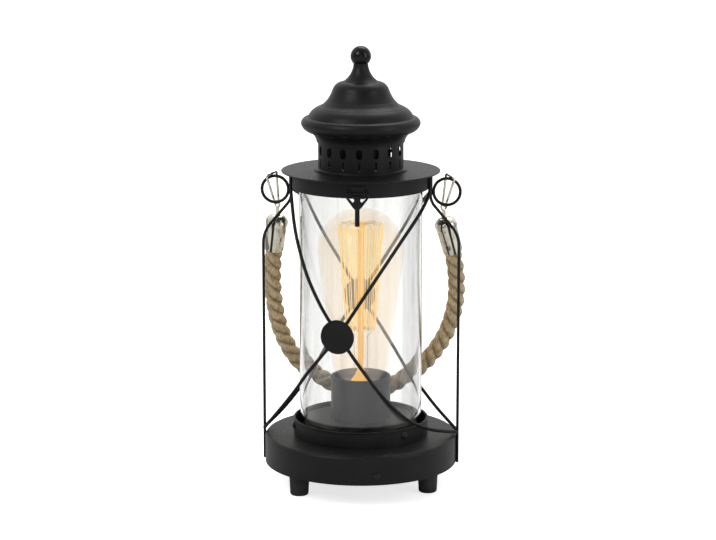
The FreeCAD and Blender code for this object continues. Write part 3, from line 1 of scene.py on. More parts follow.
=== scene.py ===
"""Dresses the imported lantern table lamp: finishes, glass, a lit filament bulb and a laid rope.

Metres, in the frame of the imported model: +Z up, the latch faces -Y, the feet stand on z = 0.
"""
import json
import math
import random

import bpy
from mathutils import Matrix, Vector

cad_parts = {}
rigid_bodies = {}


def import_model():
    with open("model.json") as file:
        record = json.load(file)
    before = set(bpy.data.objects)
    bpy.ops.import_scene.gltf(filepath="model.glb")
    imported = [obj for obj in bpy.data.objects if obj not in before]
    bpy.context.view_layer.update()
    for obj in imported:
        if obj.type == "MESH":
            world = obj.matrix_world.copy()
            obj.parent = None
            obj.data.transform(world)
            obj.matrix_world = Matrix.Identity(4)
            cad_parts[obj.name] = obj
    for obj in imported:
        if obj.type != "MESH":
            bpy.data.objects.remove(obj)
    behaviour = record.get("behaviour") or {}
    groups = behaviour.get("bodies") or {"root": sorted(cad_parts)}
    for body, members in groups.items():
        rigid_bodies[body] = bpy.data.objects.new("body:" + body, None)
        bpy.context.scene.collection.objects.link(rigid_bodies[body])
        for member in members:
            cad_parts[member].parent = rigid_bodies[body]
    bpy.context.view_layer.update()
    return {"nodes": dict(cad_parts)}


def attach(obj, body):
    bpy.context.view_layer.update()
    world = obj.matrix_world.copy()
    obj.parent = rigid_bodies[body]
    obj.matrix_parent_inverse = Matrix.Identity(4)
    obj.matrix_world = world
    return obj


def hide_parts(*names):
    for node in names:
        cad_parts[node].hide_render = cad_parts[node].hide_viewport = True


MM = 0.001

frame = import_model()
nodes = frame["nodes"]


# ---------------------------------------------------------------- camera and lights
CAMERA_DISTANCE = 1674.2 * MM
CAMERA_HEIGHT = 499.9 * MM
CAMERA_AZIMUTH = 5.5
CAMERA_PITCH = 11.485
CAMERA_SIDESTEP = 2.0 * MM
CAMERA_LENS = 118.5
CAMERA_SENSOR = 36.0
CAMERA_NEAR = 0.05

# Each soft light: name, azimuth from the front in degrees, distance, height, size, watts.
LIGHTS = (
    ("key", -38.0, 1.5, 1.35, (0.9, 0.9), 14.0),
    ("fill", 62.0, 1.6, 0.7, (0.6, 1.2), 7.0),
    ("top", 170.0, 0.7, 1.5, (1.0, 0.7), 8.0),
    ("card", 8.0, 2.3, 0.5, (1.1, 1.5), 3.2),
)
LIGHT_AIM_HEIGHT = 0.16
GLOW_WATTS = 0.1
GLOW_RADIUS = 14.0 * MM
GLOW_COLOR = (1.0, 0.74, 0.42)

WHITE = (1, 1, 1, 1)
WORLD_SEEN_STRENGTH = 1.05
WORLD_LIGHT_COLOR = (1.0, 0.995, 0.985, 1)
WORLD_FRONT_STRENGTH = 0.14
WORLD_REAR_STRENGTH = 0.95
WORLD_FADE = (-0.75, 0.5)

FLOOR_HALF_WIDTH = 6.0
FLOOR_COLOR = (0.9, 0.9, 0.9)
FLOOR_ROUGHNESS = 0.9
FLOOR_EMISSION = 0.72
FLOOR_REFLECTED_COLOR = (0.66, 0.66, 0.66, 1)


def make_camera():
    """The photograph's viewpoint: a little to the lamp's right, looking slightly down."""
    turn = math.radians(CAMERA_AZIMUTH)
    data = bpy.data.cameras.new("camera")
    data.sensor_width = CAMERA_SENSOR
    data.lens = CAMERA_LENS
    data.clip_start = CAMERA_NEAR
    camera = bpy.data.objects.new("camera", data)
    right = Vector((math.cos(turn), math.sin(turn), 0))
    back = Vector((math.sin(turn), -math.cos(turn), 0))
    camera.location = back * CAMERA_DISTANCE - right * CAMERA_SIDESTEP + Vector((0, 0, CAMERA_HEIGHT))
    camera.rotation_euler = (math.radians(90 - CAMERA_PITCH), 0, turn)
    bpy.context.scene.collection.objects.link(camera)
    bpy.context.scene.camera = camera


def area_light(name, azimuth, distance, height, size, power):
    """A soft rectangular light at an azimuth from the front, turned to the lamp."""
    data = bpy.data.lights.new(name, "AREA")
    data.shape = "RECTANGLE"
    data.size, data.size_y = size
    data.energy = power
    light = bpy.data.objects.new(name, data)
    turn = math.radians(azimuth)
    light.location = (distance * math.sin(turn), -distance * math.cos(turn), height)
    towards = Vector((0, 0, LIGHT_AIM_HEIGHT)) - light.location
    light.rotation_euler = towards.to_track_quat("-Z", "Y").to_euler()
    bpy.context.scene.collection.objects.link(light)


def bulb_glow(height):
    """The warm light that the bulb throws on what stands near it, not seen itself."""
    data = bpy.data.lights.new("bulb_glow", "POINT")
    data.energy = GLOW_WATTS
    data.color = GLOW_COLOR
    data.shadow_soft_size = GLOW_RADIUS
    light = bpy.data.objects.new("bulb_glow", data)
    light.location = (0, 0, height)
    light.visible_transmission = False
    light.visible_glossy = False
    bpy.context.scene.collection.objects.link(light)


def make_world():
    """White where the camera looks past the lamp; as a light, bright behind the lamp and dim in front."""
    world = bpy.data.worlds.new("studio")
    bpy.context.scene.world = world
    world.use_nodes = True
    tree = world.node_tree
    tree.nodes.clear()
    white = add(tree, "ShaderNodeBackground", {"Color": WHITE, "Strength": WORLD_SEEN_STRENGTH})
    where = add(tree, "ShaderNodeTexCoord")
    axes = add(tree, "ShaderNodeSeparateXYZ", {0: where.outputs["Generated"]})
    strength = remap(tree, axes.outputs["Y"], WORLD_FADE, (WORLD_FRONT_STRENGTH, WORLD_REAR_STRENGTH))
    soft = add(tree, "ShaderNodeBackground", {"Color": WORLD_LIGHT_COLOR, "Strength": strength})
    both = mix_shaders(tree, seen_directly(tree), soft, white)
    add(tree, "ShaderNodeOutputWorld", {"Surface": both.outputs[0]})


def floor_material():
    """White paper to the camera, with a faint contact shadow; a dim grey to the lamp's reflections."""
    material, tree, shader = plain("floor_white", FLOOR_COLOR, FLOOR_ROUGHNESS)
    feed(tree, shader, {
        "Specular IOR Level": 0.0, "Emission Color": WHITE, "Emission Strength": FLOOR_EMISSION})
    dim = add(tree, "ShaderNodeBsdfDiffuse", {"Color": FLOOR_REFLECTED_COLOR})
    both = mix_shaders(tree, seen_directly(tree), dim, shader)
    feed(tree, tree.nodes["Material Output"], {"Surface": both.outputs[0]})
    return material


def make_floor():
    """A wide plain floor that the lamp stands on."""
    half = FLOOR_HALF_WIDTH
    corners = [(-half, -half, 0), (half, -half, 0), (half, half, 0), (-half, half, 0)]
    floor = mesh_object("floor", corners, [(0, 1, 2, 3)])
    floor.data.materials.append(floor_material())


# ---------------------------------------------------------------- shader nodes
def feed(tree, node, inputs):
    """Sets a node's inputs: a number or colour is written, and another node's output is linked."""
    for key, value in inputs.items():
        if isinstance(value, bpy.types.NodeSocket):
            tree.links.new(value, node.inputs[key])
        else:
            node.inputs[key].default_value = value


def add(tree, kind, inputs=None):
    """A new shader node with its inputs."""
    node = tree.nodes.new(kind)
    feed(tree, node, inputs or {})
    return node


def calculate(tree, operation, *values):
    """The result of a math node."""
    node = tree.nodes.new("ShaderNodeMath")
    node.operation = operation
    feed(tree, node, dict(enumerate(values)))
    return node.outputs[0]


def calculate_vector(tree, operation, inputs):
    """A vector math node."""
    node = tree.nodes.new("ShaderNodeVectorMath")
    node.operation = operation
    feed(tree, node, inputs)
    return node


def remap(tree, value, given, wanted):
    """Maps the range given to the range wanted, and holds the value at both ends."""
    node = add(tree, "ShaderNodeMapRange", {
        "Value": value, "From Min": given[0], "From Max": given[1], "To Min": wanted[0], "To Max": wanted[1]})
    return node.outputs["Result"]


def mix_colors(tree, blend, factor, first, second):
    """The second colour blended over the first."""
    node = tree.nodes.new("ShaderNodeMix")
    node.data_type = "RGBA"
    node.blend_type = blend
    feed(tree, node, {"Factor": factor, "A": first, "B": second})
    return node.outputs["Result"]


def mix_shaders(tree, factor, first, second):
    """A node that passes from the first shader to the second as the factor goes from 0 to 1."""
    return add(tree, "ShaderNodeMixShader", {0: factor, 1: first.outputs[0], 2: second.outputs[0]})


def seen_directly(tree):
    """One for rays from the camera, also through glass; zero for reflections and for light."""
    path = add(tree, "ShaderNodeLightPath")
    return calculate(tree, "MAXIMUM", path.outputs["Is Camera Ray"], path.outputs["Is Transmission Ray"])


def coordinates(tree, stretch=(1, 1, 1), source="Object"):
    """Texture coordinates in metres, stretched by a factor along each axis."""
    where = add(tree, "ShaderNodeTexCoord")
    return add(tree, "ShaderNodeMapping", {"Vector": where.outputs[source], "Scale": stretch}).outputs["Vector"]


def noise(tree, vector, size, detail=4.0, roughness=0.55):
    """Noise whose lumps measure about size metres."""
    texture = add(tree, "ShaderNodeTexNoise", {
        "Vector": vector, "Scale": 1.0 / size, "Detail": detail, "Roughness": roughness})
    return texture.outputs["Fac"]


def ramp(tree, value, stops):
    """A colour ramp; stops are (position, colour)."""
    node = add(tree, "ShaderNodeValToRGB", {"Fac": value})
    elements = node.color_ramp.elements
    while len(elements) < len(stops):
        elements.new(0.5)
    for element, (position, color) in zip(elements, stops):
        element.position = position
        element.color = (*color, 1)
    return node.outputs["Color"]


def spread(tree, value, middle, half):
    """Maps a noise value's middle range to half above and half below a middle."""
    return remap(tree, value, (0.3, 0.7), (middle - half, middle + half))


def bump(tree, shader, height, strength, distance):
    """Raises the surface by a height texture."""
    node = add(tree, "ShaderNodeBump", {"Height": height, "Strength": strength, "Distance": distance})
    feed(tree, shader, {"Normal": node.outputs["Normal"]})


# ---------------------------------------------------------------- materials
NICKEL = (0.86, 0.82, 0.71)
NICKEL_ROUGHNESS = 0.24
METAL_SPOT = 0.22
METAL_DULL = 0.8
# The ferrules' dark streak marks: painted reflections, drawn into the base colour at fixed angles.
REFLECTION_STREAK_COLOR = (0.01, 0.008, 0.003, 1)
REFLECTION_STREAK_DEPTH = 0.97
REFLECTION_STREAK_EDGES = (0.55, 1.25)
GLASS_BANDS = [(0.34, (0.68, 0.68, 0.68)), (0.52, (0.82, 0.82, 0.815))]
GLASS_SHADOW_TINT = (0.96, 0.97, 0.97, 1)
GLASS_SLANT = (0.15, 0.4)
GLASS_SLANT_SHADE = (1.0, 0.86)
ENVELOPE_TINTS = [(0.3, (0.985, 0.958, 0.918)), (0.9, (1.0, 1.0, 1.0))]
ENVELOPE_ROUGHNESS = 0.03
ENVELOPE_RIM = (0.55, 1.0)
ENVELOPE_SHEEN = (0.012, 0.14)
ENVELOPE_EDGE_VEIL = 0.3
REFLECTED_GLOW = 0.1
JUTE_FIBRES = [(0.3, (0.2, 0.145, 0.08)), (0.5, (0.53, 0.42, 0.26)), (0.72, (0.9, 0.76, 0.54))]
JUTE_PATCHES = [(0.34, (0.6, 0.55, 0.45)), (0.6, (1.0, 1.0, 1.0))]
# Painted shade in the hollows between strands: the colour is multiplied by this ramp over the surface's height.
JUTE_HOLLOW_SHADE = [(0.0, (0.42, 0.37, 0.29)), (0.55, (0.93, 0.92, 0.9)), (1.0, (1.0, 1.0, 1.0))]
JUTE_PATCH_SHARE = 0.75
JUTE_HOLLOW_SHADE_SHARE = 0.85


def plain(name, color, roughness, metallic=0.0):
    """A principled material, returned with its tree and its shader node."""
    material = bpy.data.materials.new(name)
    material.use_nodes = True
    tree = material.node_tree
    shader = tree.nodes["Principled BSDF"]
    feed(tree, shader, {"Base Color": (*color, 1), "Roughness": roughness, "Metallic": metallic})
    return material, tree, shader


def bare(name):
    """A material with only its output node, returned with its tree and that node."""
    material, tree, shader = plain(name, (1, 1, 1), 0.5)
    tree.nodes.remove(shader)
    return material, tree, tree.nodes["Material Output"]


def powder_coat(name, dark, light, roughness, grain=0.55 * MM):
    """Powder-coated steel: a fine orange peel, and faint cloudy changes in shade and gloss."""
    material, tree, shader = plain(name, dark, roughness)
    vector = coordinates(tree)
    cloud = noise(tree, vector, size=22 * MM, detail=5.0)
    fine = noise(tree, vector, size=1.6 * MM, detail=3.0)
    feed(tree, shader, {
        "Specular IOR Level": 0.2,
        "Base Color": ramp(tree, cloud, [(0.35, dark), (0.7, light)]),
        "Roughness": spread(tree, fine, roughness, 0.06)})
    bump(tree, shader, noise(tree, vector, grain, detail=2.0), strength=0.35, distance=0.03 * MM)
    return material


def brushed_metal(name, color, roughness, stretch=(1, 1, 0.04)):
    """Drawn or turned metal with fine scratches along one direction and a few dull spots."""
    material, tree, shader = plain(name, color, roughness, metallic=1.0)
    vector = coordinates(tree, stretch)
    lines = noise(tree, vector, size=0.5 * MM, detail=4.0, roughness=0.7)
    worn = noise(tree, vector, size=3.2 * MM, detail=3.0)
    dark = tuple(channel * METAL_SPOT for channel in color)
    dull = tuple(channel * METAL_DULL for channel in color)
    feed(tree, shader, {
        "Base Color": ramp(tree, worn, [(0.37, dark), (0.43, dull), (0.62, color)]),
        "Roughness": spread(tree, lines, roughness, 0.07)})
    bump(tree, shader, lines, strength=0.2, distance=0.03 * MM)
    return material


def ferrule_metal(name, start, end, reflection_streaks):
    """Bright nickel round the line from start to end, darkened in narrow bands at fixed angles round it:
    painted reflections. Each painted reflection has an angle from the front and half a width, both in degrees."""
    material = brushed_metal(name, NICKEL, NICKEL_ROUGHNESS)
    tree = material.node_tree
    shader = tree.nodes["Principled BSDF"]
    axis = (end - start).normalized()
    front = Vector((0, -1, 0))
    front = (front - axis * front.dot(axis)).normalized()
    where = add(tree, "ShaderNodeTexCoord")
    offset = calculate_vector(tree, "SUBTRACT", {0: where.outputs["Object"], 1: start})
    parts = [calculate_vector(tree, "DOT_PRODUCT", {0: offset.outputs["Vector"], 1: direction})
             for direction in (axis.cross(front), front)]
    angle = calculate(tree, "ARCTAN2", parts[0].outputs["Value"], parts[1].outputs["Value"])
    color = shader.inputs["Base Color"].links[0].from_socket
    # Each pass darkens the base colour in a band at a fixed angle: a painted reflection.
    for middle, half in reflection_streaks:
        away = calculate(tree, "ABSOLUTE", calculate(tree, "SUBTRACT", angle, math.radians(middle)))
        edges = [math.radians(half * edge) for edge in REFLECTION_STREAK_EDGES]
        color = mix_colors(tree, "MIX", remap(tree, away, edges, (REFLECTION_STREAK_DEPTH, 0.0)), color, REFLECTION_STREAK_COLOR)
    feed(tree, shader, {"Base Color": color})
    return material


def moulded(name, color, roughness):
    """Moulded rubber or plastic with a soft grain."""
    material, tree, shader = plain(name, color, roughness)
    vector = coordinates(tree)
    pale = tuple(min(1.0, channel * 1.5 + 0.01) for channel in color)
    cloud = noise(tree, vector, size=9 * MM)
    feed(tree, shader, {"Base Color": ramp(tree, cloud, [(0.35, color), (0.75, pale)])})
    bump(tree, shader, noise(tree, vector, size=0.9 * MM), strength=0.3, distance=0.05 * MM)
    return material


def clear_glass(name, tint, absorb, density):
    """Clear glass with faint upright bands, greyer where its wall turns away; shadow rays pass."""
    material, tree, shader = plain(name, tint, 0.0)
    bands = noise(tree, coordinates(tree, (1, 1, 0.02)), size=13 * MM, detail=3.0, roughness=0.6)
    facing = add(tree, "ShaderNodeLayerWeight", {"Blend": 0.5})
    shade = remap(tree, facing.outputs["Facing"], GLASS_SLANT, GLASS_SLANT_SHADE)
    grey = calculate_vector(tree, "SCALE", {0: ramp(tree, bands, GLASS_BANDS + [(0.75, tint)]), "Scale": shade})
    feed(tree, shader, {"IOR": 1.47, "Transmission Weight": 1.0, "Base Color": grey.outputs["Vector"]})
    path = add(tree, "ShaderNodeLightPath")
    through = add(tree, "ShaderNodeBsdfTransparent", {"Color": GLASS_SHADOW_TINT})
    surface = mix_shaders(tree, path.outputs["Is Shadow Ray"], shader, through)
    volume = add(tree, "ShaderNodeVolumeAbsorption", {"Color": (*absorb, 1), "Density": density})
    feed(tree, tree.nodes["Material Output"], {"Surface": surface.outputs[0], "Volume": volume.outputs[0]})
    return material


def lit_envelope(name, glow, veil, strength):
    """The lit bulb's thin glass: clear, with a faint sheen and a warm veil of scattered light."""
    material, tree, out = bare(name)
    facing = add(tree, "ShaderNodeLayerWeight", {"Blend": 0.3}).outputs["Facing"]
    clear = add(tree, "ShaderNodeBsdfTransparent", {"Color": ramp(tree, facing, ENVELOPE_TINTS)})
    haze = add(tree, "ShaderNodeEmission", {"Color": (*glow, 1), "Strength": strength})
    body = mix_shaders(tree, remap(tree, facing, (0.0, 1.0), (veil, veil * ENVELOPE_EDGE_VEIL)), clear, haze)
    sheen = add(tree, "ShaderNodeBsdfGlossy", {"Roughness": ENVELOPE_ROUGHNESS})
    skin = mix_shaders(tree, remap(tree, facing, ENVELOPE_RIM, ENVELOPE_SHEEN), body, sheen)
    feed(tree, out, {"Surface": skin.outputs[0]})
    return material


def glowing(name, color, strength, base=(0.1, 0.06, 0.03)):
    """Emission for the hot filament, and a painted glow on the glass stem and the support wires where the
    filament lights them.
    """
    material, tree, shader = plain(name, base, 0.4)
    feed(tree, shader, {"Emission Color": (*color, 1), "Emission Strength": strength})
    return material


def unreflected(material):
    """Keeps a glowing material's light out of the reflections in bright metal."""
    tree = material.node_tree
    strength = tree.nodes["Principled BSDF"].inputs["Emission Strength"]
    path = add(tree, "ShaderNodeLightPath")
    dimmed = remap(tree, path.outputs["Glossy Depth"], (0.0, 1.0), (strength.default_value, REFLECTED_GLOW))
    tree.links.new(dimmed, strength)
    return material


def jute(name):
    """Twisted natural fibre: pale and dark fibres along the yarn, in the strand's own uv, with painted shade
    that darkens the hollows between strands."""
    material, tree, shader = plain(name, (0.4, 0.3, 0.19), 0.9)
    fibres = noise(tree, coordinates(tree, (1.0, 0.16, 1.0), "UV"), size=0.55 * MM, detail=5.0, roughness=0.7)
    patches = noise(tree, coordinates(tree), size=3.5 * MM, detail=5.0)
    groove = add(tree, "ShaderNodeAttribute")
    groove.attribute_name = "groove"
    pale = ramp(tree, fibres, JUTE_FIBRES)
    color = mix_colors(tree, "MULTIPLY", JUTE_PATCH_SHARE, pale, ramp(tree, patches, JUTE_PATCHES))
    # Painted shade: darker where the strand's surface lies low between the strands.
    hollows = ramp(tree, groove.outputs["Fac"], JUTE_HOLLOW_SHADE)
    color = mix_colors(tree, "MULTIPLY", JUTE_HOLLOW_SHADE_SHARE, color, hollows)
    feed(tree, shader, {"Base Color": color, "Sheen Weight": 0.25, "Sheen Roughness": 0.5})
    bump(tree, shader, fibres, strength=0.7, distance=0.25 * MM)
    return material


FINISHES = {
    "black_enamel": powder_coat("black_enamel", (0.006, 0.006, 0.0062), (0.0105, 0.0104, 0.0108), 0.42),
    "anthracite_enamel": powder_coat("anthracite_enamel", (0.014, 0.014, 0.0155), (0.019, 0.019, 0.0205), 0.44),
    "dark_steel": powder_coat("dark_steel", (0.005, 0.005, 0.0052), (0.008, 0.008, 0.008), 0.4, 0.4 * MM),
    "zinc_steel": brushed_metal("zinc_steel", (0.58, 0.58, 0.6), 0.34),
    "black_screws": powder_coat("black_screws", (0.009, 0.009, 0.0095), (0.014, 0.014, 0.014), 0.36, 0.4 * MM),
    "warm_nickel": brushed_metal("warm_nickel", NICKEL, NICKEL_ROUGHNESS),
    "jute": jute("jute"),
    "clear_glass": clear_glass("clear_glass", (0.9, 0.9, 0.89), (0.6, 0.61, 0.6), 46.0),
    "bulb_glass": lit_envelope("bulb_glass", (1.0, 0.9, 0.84), 0.06, 1.1),
    "cap_metal": brushed_metal("cap_metal", (0.72, 0.71, 0.7), 0.25, (0.04, 0.04, 1)),
    "contact_brass": brushed_metal("contact_brass", (0.72, 0.5, 0.22), 0.3),
    "dark_insulator": moulded("dark_insulator", (0.012, 0.011, 0.011), 0.25),
    "filament": unreflected(glowing("filament", (1.0, 0.68, 0.26), 1.35, (0.05, 0.03, 0.01))),
    "black_rubber": moulded("black_rubber", (0.012, 0.012, 0.012), 0.7),
    "holder_plastic": moulded("holder_plastic", (0.02, 0.02, 0.02), 0.45),
    "terminal_plastic": moulded("terminal_plastic", (0.55, 0.54, 0.5), 0.5),
    "lead_sleeve": moulded("lead_sleeve", (0.32, 0.3, 0.27), 0.45),
}
# The spokes and lead wires get a painted glow: the filament's light on them, given as emission.
SUPPORT_GLOW = glowing("lit_supports", (0.8, 0.5, 0.22), 0.55)
# The finishes of single nodes, over the finish of their slot.
OWN_FINISHES = {
    # The glass stem gets a painted glow: the filament's light caught in the glass, given as emission.
    "bulb_stem": unreflected(glowing("lit_stem", (1.0, 0.56, 0.075), 0.98)),
    "finial_ball": powder_coat("ball_enamel", (0.006, 0.006, 0.0062), (0.0095, 0.0095, 0.0098), 0.2),
    "seat_plate": powder_coat("seat_enamel", (0.0035, 0.0035, 0.004), (0.006, 0.006, 0.0065), 0.44),
}
# Each ferrule: two points of the rope's route, towards the ferrule, and its painted reflections as dark streak
# marks (angle, half width).
FERRULES = {
    "left_ferrule": ((1, 0), ((-9, 8),)),
    "right_ferrule": ((-2, -1), ((15, 7), (-23, 4.5))),
}


def give(node, material):
    """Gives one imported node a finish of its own."""
    for slot in nodes[node].material_slots:
        slot.material = material


def dress():
    """Gives every mesh the finish of its slot, and a few nodes their own."""
    for item in bpy.data.objects:
        if item.type != "MESH":
            continue
        for slot in item.material_slots:
            name = slot.material.name.split(".")[0] if slot.material else ""
            if name in FINISHES:
                slot.material = FINISHES[name]
    # Each ferrule gets its own nickel with painted reflections at fixed angles.
    for node, ((low, high), reflection_streaks) in FERRULES.items():
        start, end = on_route(*ROPE_ROUTE[low]), on_route(*ROPE_ROUTE[high])
        give(node, ferrule_metal(f"{node}_nickel", start, end, reflection_streaks))
    for node, material in OWN_FINISHES.items():
        give(node, material)


# ---------------------------------------------------------------- meshes
TURNED_SEGMENTS = 96
THREAD_SIDES = 8


def mesh_object(name, vertices, faces):
    """A new object in the scene with a mesh of these vertices and faces."""
    mesh = bpy.data.meshes.new(name)
    mesh.from_pydata(vertices, [], faces)
    item = bpy.data.objects.new(name, mesh)
    bpy.context.scene.collection.objects.link(item)
    return item


def ring_point(radius, share, height):
    """A point on a level circle round the lamp's axis, at a share of the full turn."""
    return Vector((radius * math.sin(math.tau * share), -radius * math.cos(math.tau * share), height))


def thread(name, lines, thick):
    """Round threads of one thickness, each along its own list of points, as one mesh."""
    vertices, faces = [], []
    for points in lines:
        start = len(vertices)
        for index, point in enumerate(points):
            ahead = (points[min(index + 1, len(points) - 1)] - points[max(index - 1, 0)]).normalized()
            across = ahead.orthogonal().normalized()
            beside = ahead.cross(across)
            for side in range(THREAD_SIDES):
                angle = math.tau * side / THREAD_SIDES
                vertices.append(point + (across * math.cos(angle) + beside * math.sin(angle)) * thick)
        for index in range(len(points) - 1):
            low, high = start + index * THREAD_SIDES, start + (index + 1) * THREAD_SIDES
            for side in range(THREAD_SIDES):
                after = (side + 1) % THREAD_SIDES
                faces.append((low + side, low + after, high + after, high + side))
    item = mesh_object(name, vertices, faces)
    item.data.shade_smooth()
    return item


def turned(name, profile, body, slot):
    """A ring turned from a closed profile of (radius, height) points."""
    count = len(profile)
    vertices, faces = [], []
    for turn in range(TURNED_SEGMENTS):
        vertices += [ring_point(radius, turn / TURNED_SEGMENTS, height) for radius, height in profile]
        low, high = turn * count, (turn + 1) % TURNED_SEGMENTS * count
        for index in range(count):
            after = (index + 1) % count
            faces.append((low + index, high + index, high + after, low + after))
    item = mesh_object(name, vertices, faces)
    item.data.materials.append(FINISHES[slot])
    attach(item, body)
    return item


# ---------------------------------------------------------------- the laid rope
# The rope's route in the handle's plane, in mm: across the lamp, and down along the lean.
ROPE_ROUTE = [
    (-63.06, 40.7), (-66.8, 66.1), (-68.3, 95.0), (-65.0, 127.0), (-52.5, 155.5), (-30.0, 173.5), (-5.0, 180.0),
    (20.0, 175.0), (42.5, 156.0), (58.3, 133.0), (65.5, 112.0), (68.6, 93.0), (67.59, 66.1), (61.72, 40.7),
]
ROUTE_RESOLUTION = 48
HANDLE_LEAN = math.radians(17.2)
HANDLE_HEIGHT = 227.5 * MM
STRANDS = 3
STRAND_ORBIT = 2.35 * MM
STRAND_RADIUS = 4.15 * MM
STRAND_SIDES = 44
LAY_LENGTH = 29.0 * MM
ROPE_RADIUS = 6.5 * MM
GROOVE_FLOOR = 4.9 * MM
YARNS = 9
YARN_DEPTH = 0.3 * MM
YARN_LAY = LAY_LENGTH * 0.62
FUZZ_SEED = 41
FUZZ_FIBRES = 3600
FUZZ_ROOT = 5.6 * MM
FUZZ_STEPS = 4
FUZZ_SIDES = 3
FUZZ_TAPER = 0.8
FUZZ_END_GAP = 8


def on_route(across, down):
    """A point of the handle's plane in the lamp's frame."""
    return Vector((across * MM, down * MM * math.sin(HANDLE_LEAN),
                   HANDLE_HEIGHT - down * MM * math.cos(HANDLE_LEAN)))


def route_points():
    """Points along one NURBS spline through the same control points as the model's rope."""
    curve = bpy.data.curves.new("rope_line", "CURVE")
    curve.dimensions = "3D"
    curve.resolution_u = ROUTE_RESOLUTION
    spline = curve.splines.new("NURBS")
    spline.points.add(len(ROPE_ROUTE) - 1)
    for point, place in zip(spline.points, ROPE_ROUTE):
        point.co = (*on_route(*place), 1)
    spline.order_u = 3
    spline.use_endpoint_u = True
    line = bpy.data.objects.new("rope_line", curve)
    bpy.context.scene.collection.objects.link(line)
    bpy.context.view_layer.update()
    mesh = bpy.data.meshes.new_from_object(line)
    points = [vertex.co.copy() for vertex in mesh.vertices]
    bpy.data.meshes.remove(mesh)
    bpy.data.objects.remove(line)
    return points


def centre_frames(points):
    """At each point: how far along it lies, its tangent, and two crosswise directions that don't spin."""
    across = Vector((0, math.cos(HANDLE_LEAN), math.sin(HANDLE_LEAN)))
    frames = []
    travelled = 0.0
    for index, point in enumerate(points):
        before = points[max(index - 1, 0)]
        after = points[min(index + 1, len(points) - 1)]
        travelled += (point - before).length
        tangent = (after - before).normalized()
        inward = tangent.cross(across).normalized()
        frames.append((point, travelled, tangent, across, inward))
    return frames


def strand(frames, phase):
    """One strand: a grooved section carried round the rope's axis, its yarns twisted against the lay.
    Gives its vertices, its faces and each vertex's height over the hollows, from 0 to 1."""
    vertices, faces, heights = [], [], []
    for point, travelled, _, across, inward in frames:
        orbit = phase - math.tau * travelled / LAY_LENGTH
        out = across * math.cos(orbit) + inward * math.sin(orbit)
        around = inward * math.cos(orbit) - across * math.sin(orbit)
        centre = point + out * STRAND_ORBIT
        own_twist = math.tau * travelled / YARN_LAY
        for side in range(STRAND_SIDES):
            angle = math.tau * side / STRAND_SIDES
            ridge = abs(math.sin((angle - own_twist) * YARNS / 2))
            radius = STRAND_RADIUS - YARN_DEPTH * (1 - ridge) ** 2
            vertex = centre + (out * math.cos(angle) + around * math.sin(angle)) * radius
            vertices.append(vertex)
            height = ((vertex - point).length - GROOVE_FLOOR) / (ROPE_RADIUS - GROOVE_FLOOR)
            heights.append(min(max(height, 0.0), 1.0))
    for ring in range(len(frames) - 1):
        low, high = ring * STRAND_SIDES, (ring + 1) * STRAND_SIDES
        for side in range(STRAND_SIDES):
            after = (side + 1) % STRAND_SIDES
            faces.append((low + side, high + side, high + after, low + after))
    faces.append(tuple(range(STRAND_SIDES)))
    faces.append(tuple(reversed(range((len(frames) - 1) * STRAND_SIDES, len(frames) * STRAND_SIDES))))
    return vertices, faces, heights


def yarn_uv(face, corner, frames):
    """Round the strand, less the yarns' twist, and along it, in metres, for a corner of a strand's face."""
    ring, side = divmod(corner, STRAND_SIDES)
    closes = len(face) == 4 and side == 0 and max(index % STRAND_SIDES for index in face) == STRAND_SIDES - 1
    around = (STRAND_SIDES if closes else side) / STRAND_SIDES * math.tau * STRAND_RADIUS
    travelled = frames[ring][1]
    return around - travelled / YARN_LAY * math.tau * STRAND_RADIUS, travelled


def fuzz_fibre(seed, frames, start):
    """A loose fibre, its vertices numbered from start; gives also how far along the rope it grows."""
    point, travelled, tangent, across, inward = frames[seed.randrange(FUZZ_END_GAP, len(frames) - FUZZ_END_GAP)]
    angle = seed.random() * math.tau
    out = across * math.cos(angle) + inward * math.sin(angle)
    side = out.cross(tangent)
    root = point + out * FUZZ_ROOT
    heading = tangent * seed.uniform(-1, 1) + side * seed.uniform(-1, 1) + out * seed.uniform(0.0, 0.5)
    heading.normalize()
    reach = seed.uniform(1.0, 3.6) * MM
    curl = (out * seed.uniform(-0.5, 0.25) + side * seed.uniform(-0.4, 0.4)) * reach
    thick = seed.uniform(0.025, 0.06) * MM
    vertices, faces = [], []
    for step in range(FUZZ_STEPS + 1):
        share = step / FUZZ_STEPS
        centre = root + heading * reach * share + curl * share * share
        width = thick * (1 - FUZZ_TAPER * share)
        for turn in range(FUZZ_SIDES):
            spin = math.tau * turn / FUZZ_SIDES
            vertices.append(centre + (side * math.cos(spin) + out * math.sin(spin)) * width)
    for step in range(FUZZ_STEPS):
        low, high = start + step * FUZZ_SIDES, start + (step + 1) * FUZZ_SIDES
        for turn in range(FUZZ_SIDES):
            after = (turn + 1) % FUZZ_SIDES
            faces.append((low + turn, low + after, high + after, high + turn))
    return vertices, faces, travelled


def rope_object():
    """The strands and their loose fibres as one mesh, with the rope's length and its centre line."""
    frames = centre_frames(route_points())
    vertices, faces, uvs, heights = [], [], [], []
    for index in range(STRANDS):
        start = len(vertices)
        more, quads, rises = strand(frames, math.tau * index / STRANDS)
        vertices += more
        heights += rises
        for face in quads:
            faces.append([start + corner for corner in face])
            uvs += [yarn_uv(face, corner, frames) for corner in face]
    seed = random.Random(FUZZ_SEED)
    for _ in range(FUZZ_FIBRES):
        more, quads, travelled = fuzz_fibre(seed, frames, len(vertices))
        vertices += more
        heights += [1.0] * len(more)
        faces += quads
        uvs += [(travelled, 0.0)] * (4 * len(quads))
    rope = mesh_object("laid_rope", vertices, faces)
    # The heights are the mask for the painted shade in the jute's hollows.
    rope.data.attributes.new("groove", "FLOAT", "POINT").data.foreach_set("value", heights)
    layer = rope.data.uv_layers.new(name="yarn")
    for loop, uv in zip(layer.data, uvs):
        loop.uv = uv
    rope.data.shade_smooth()
    return rope, frames[-1][1], [tuple(frame[0]) for frame in frames]


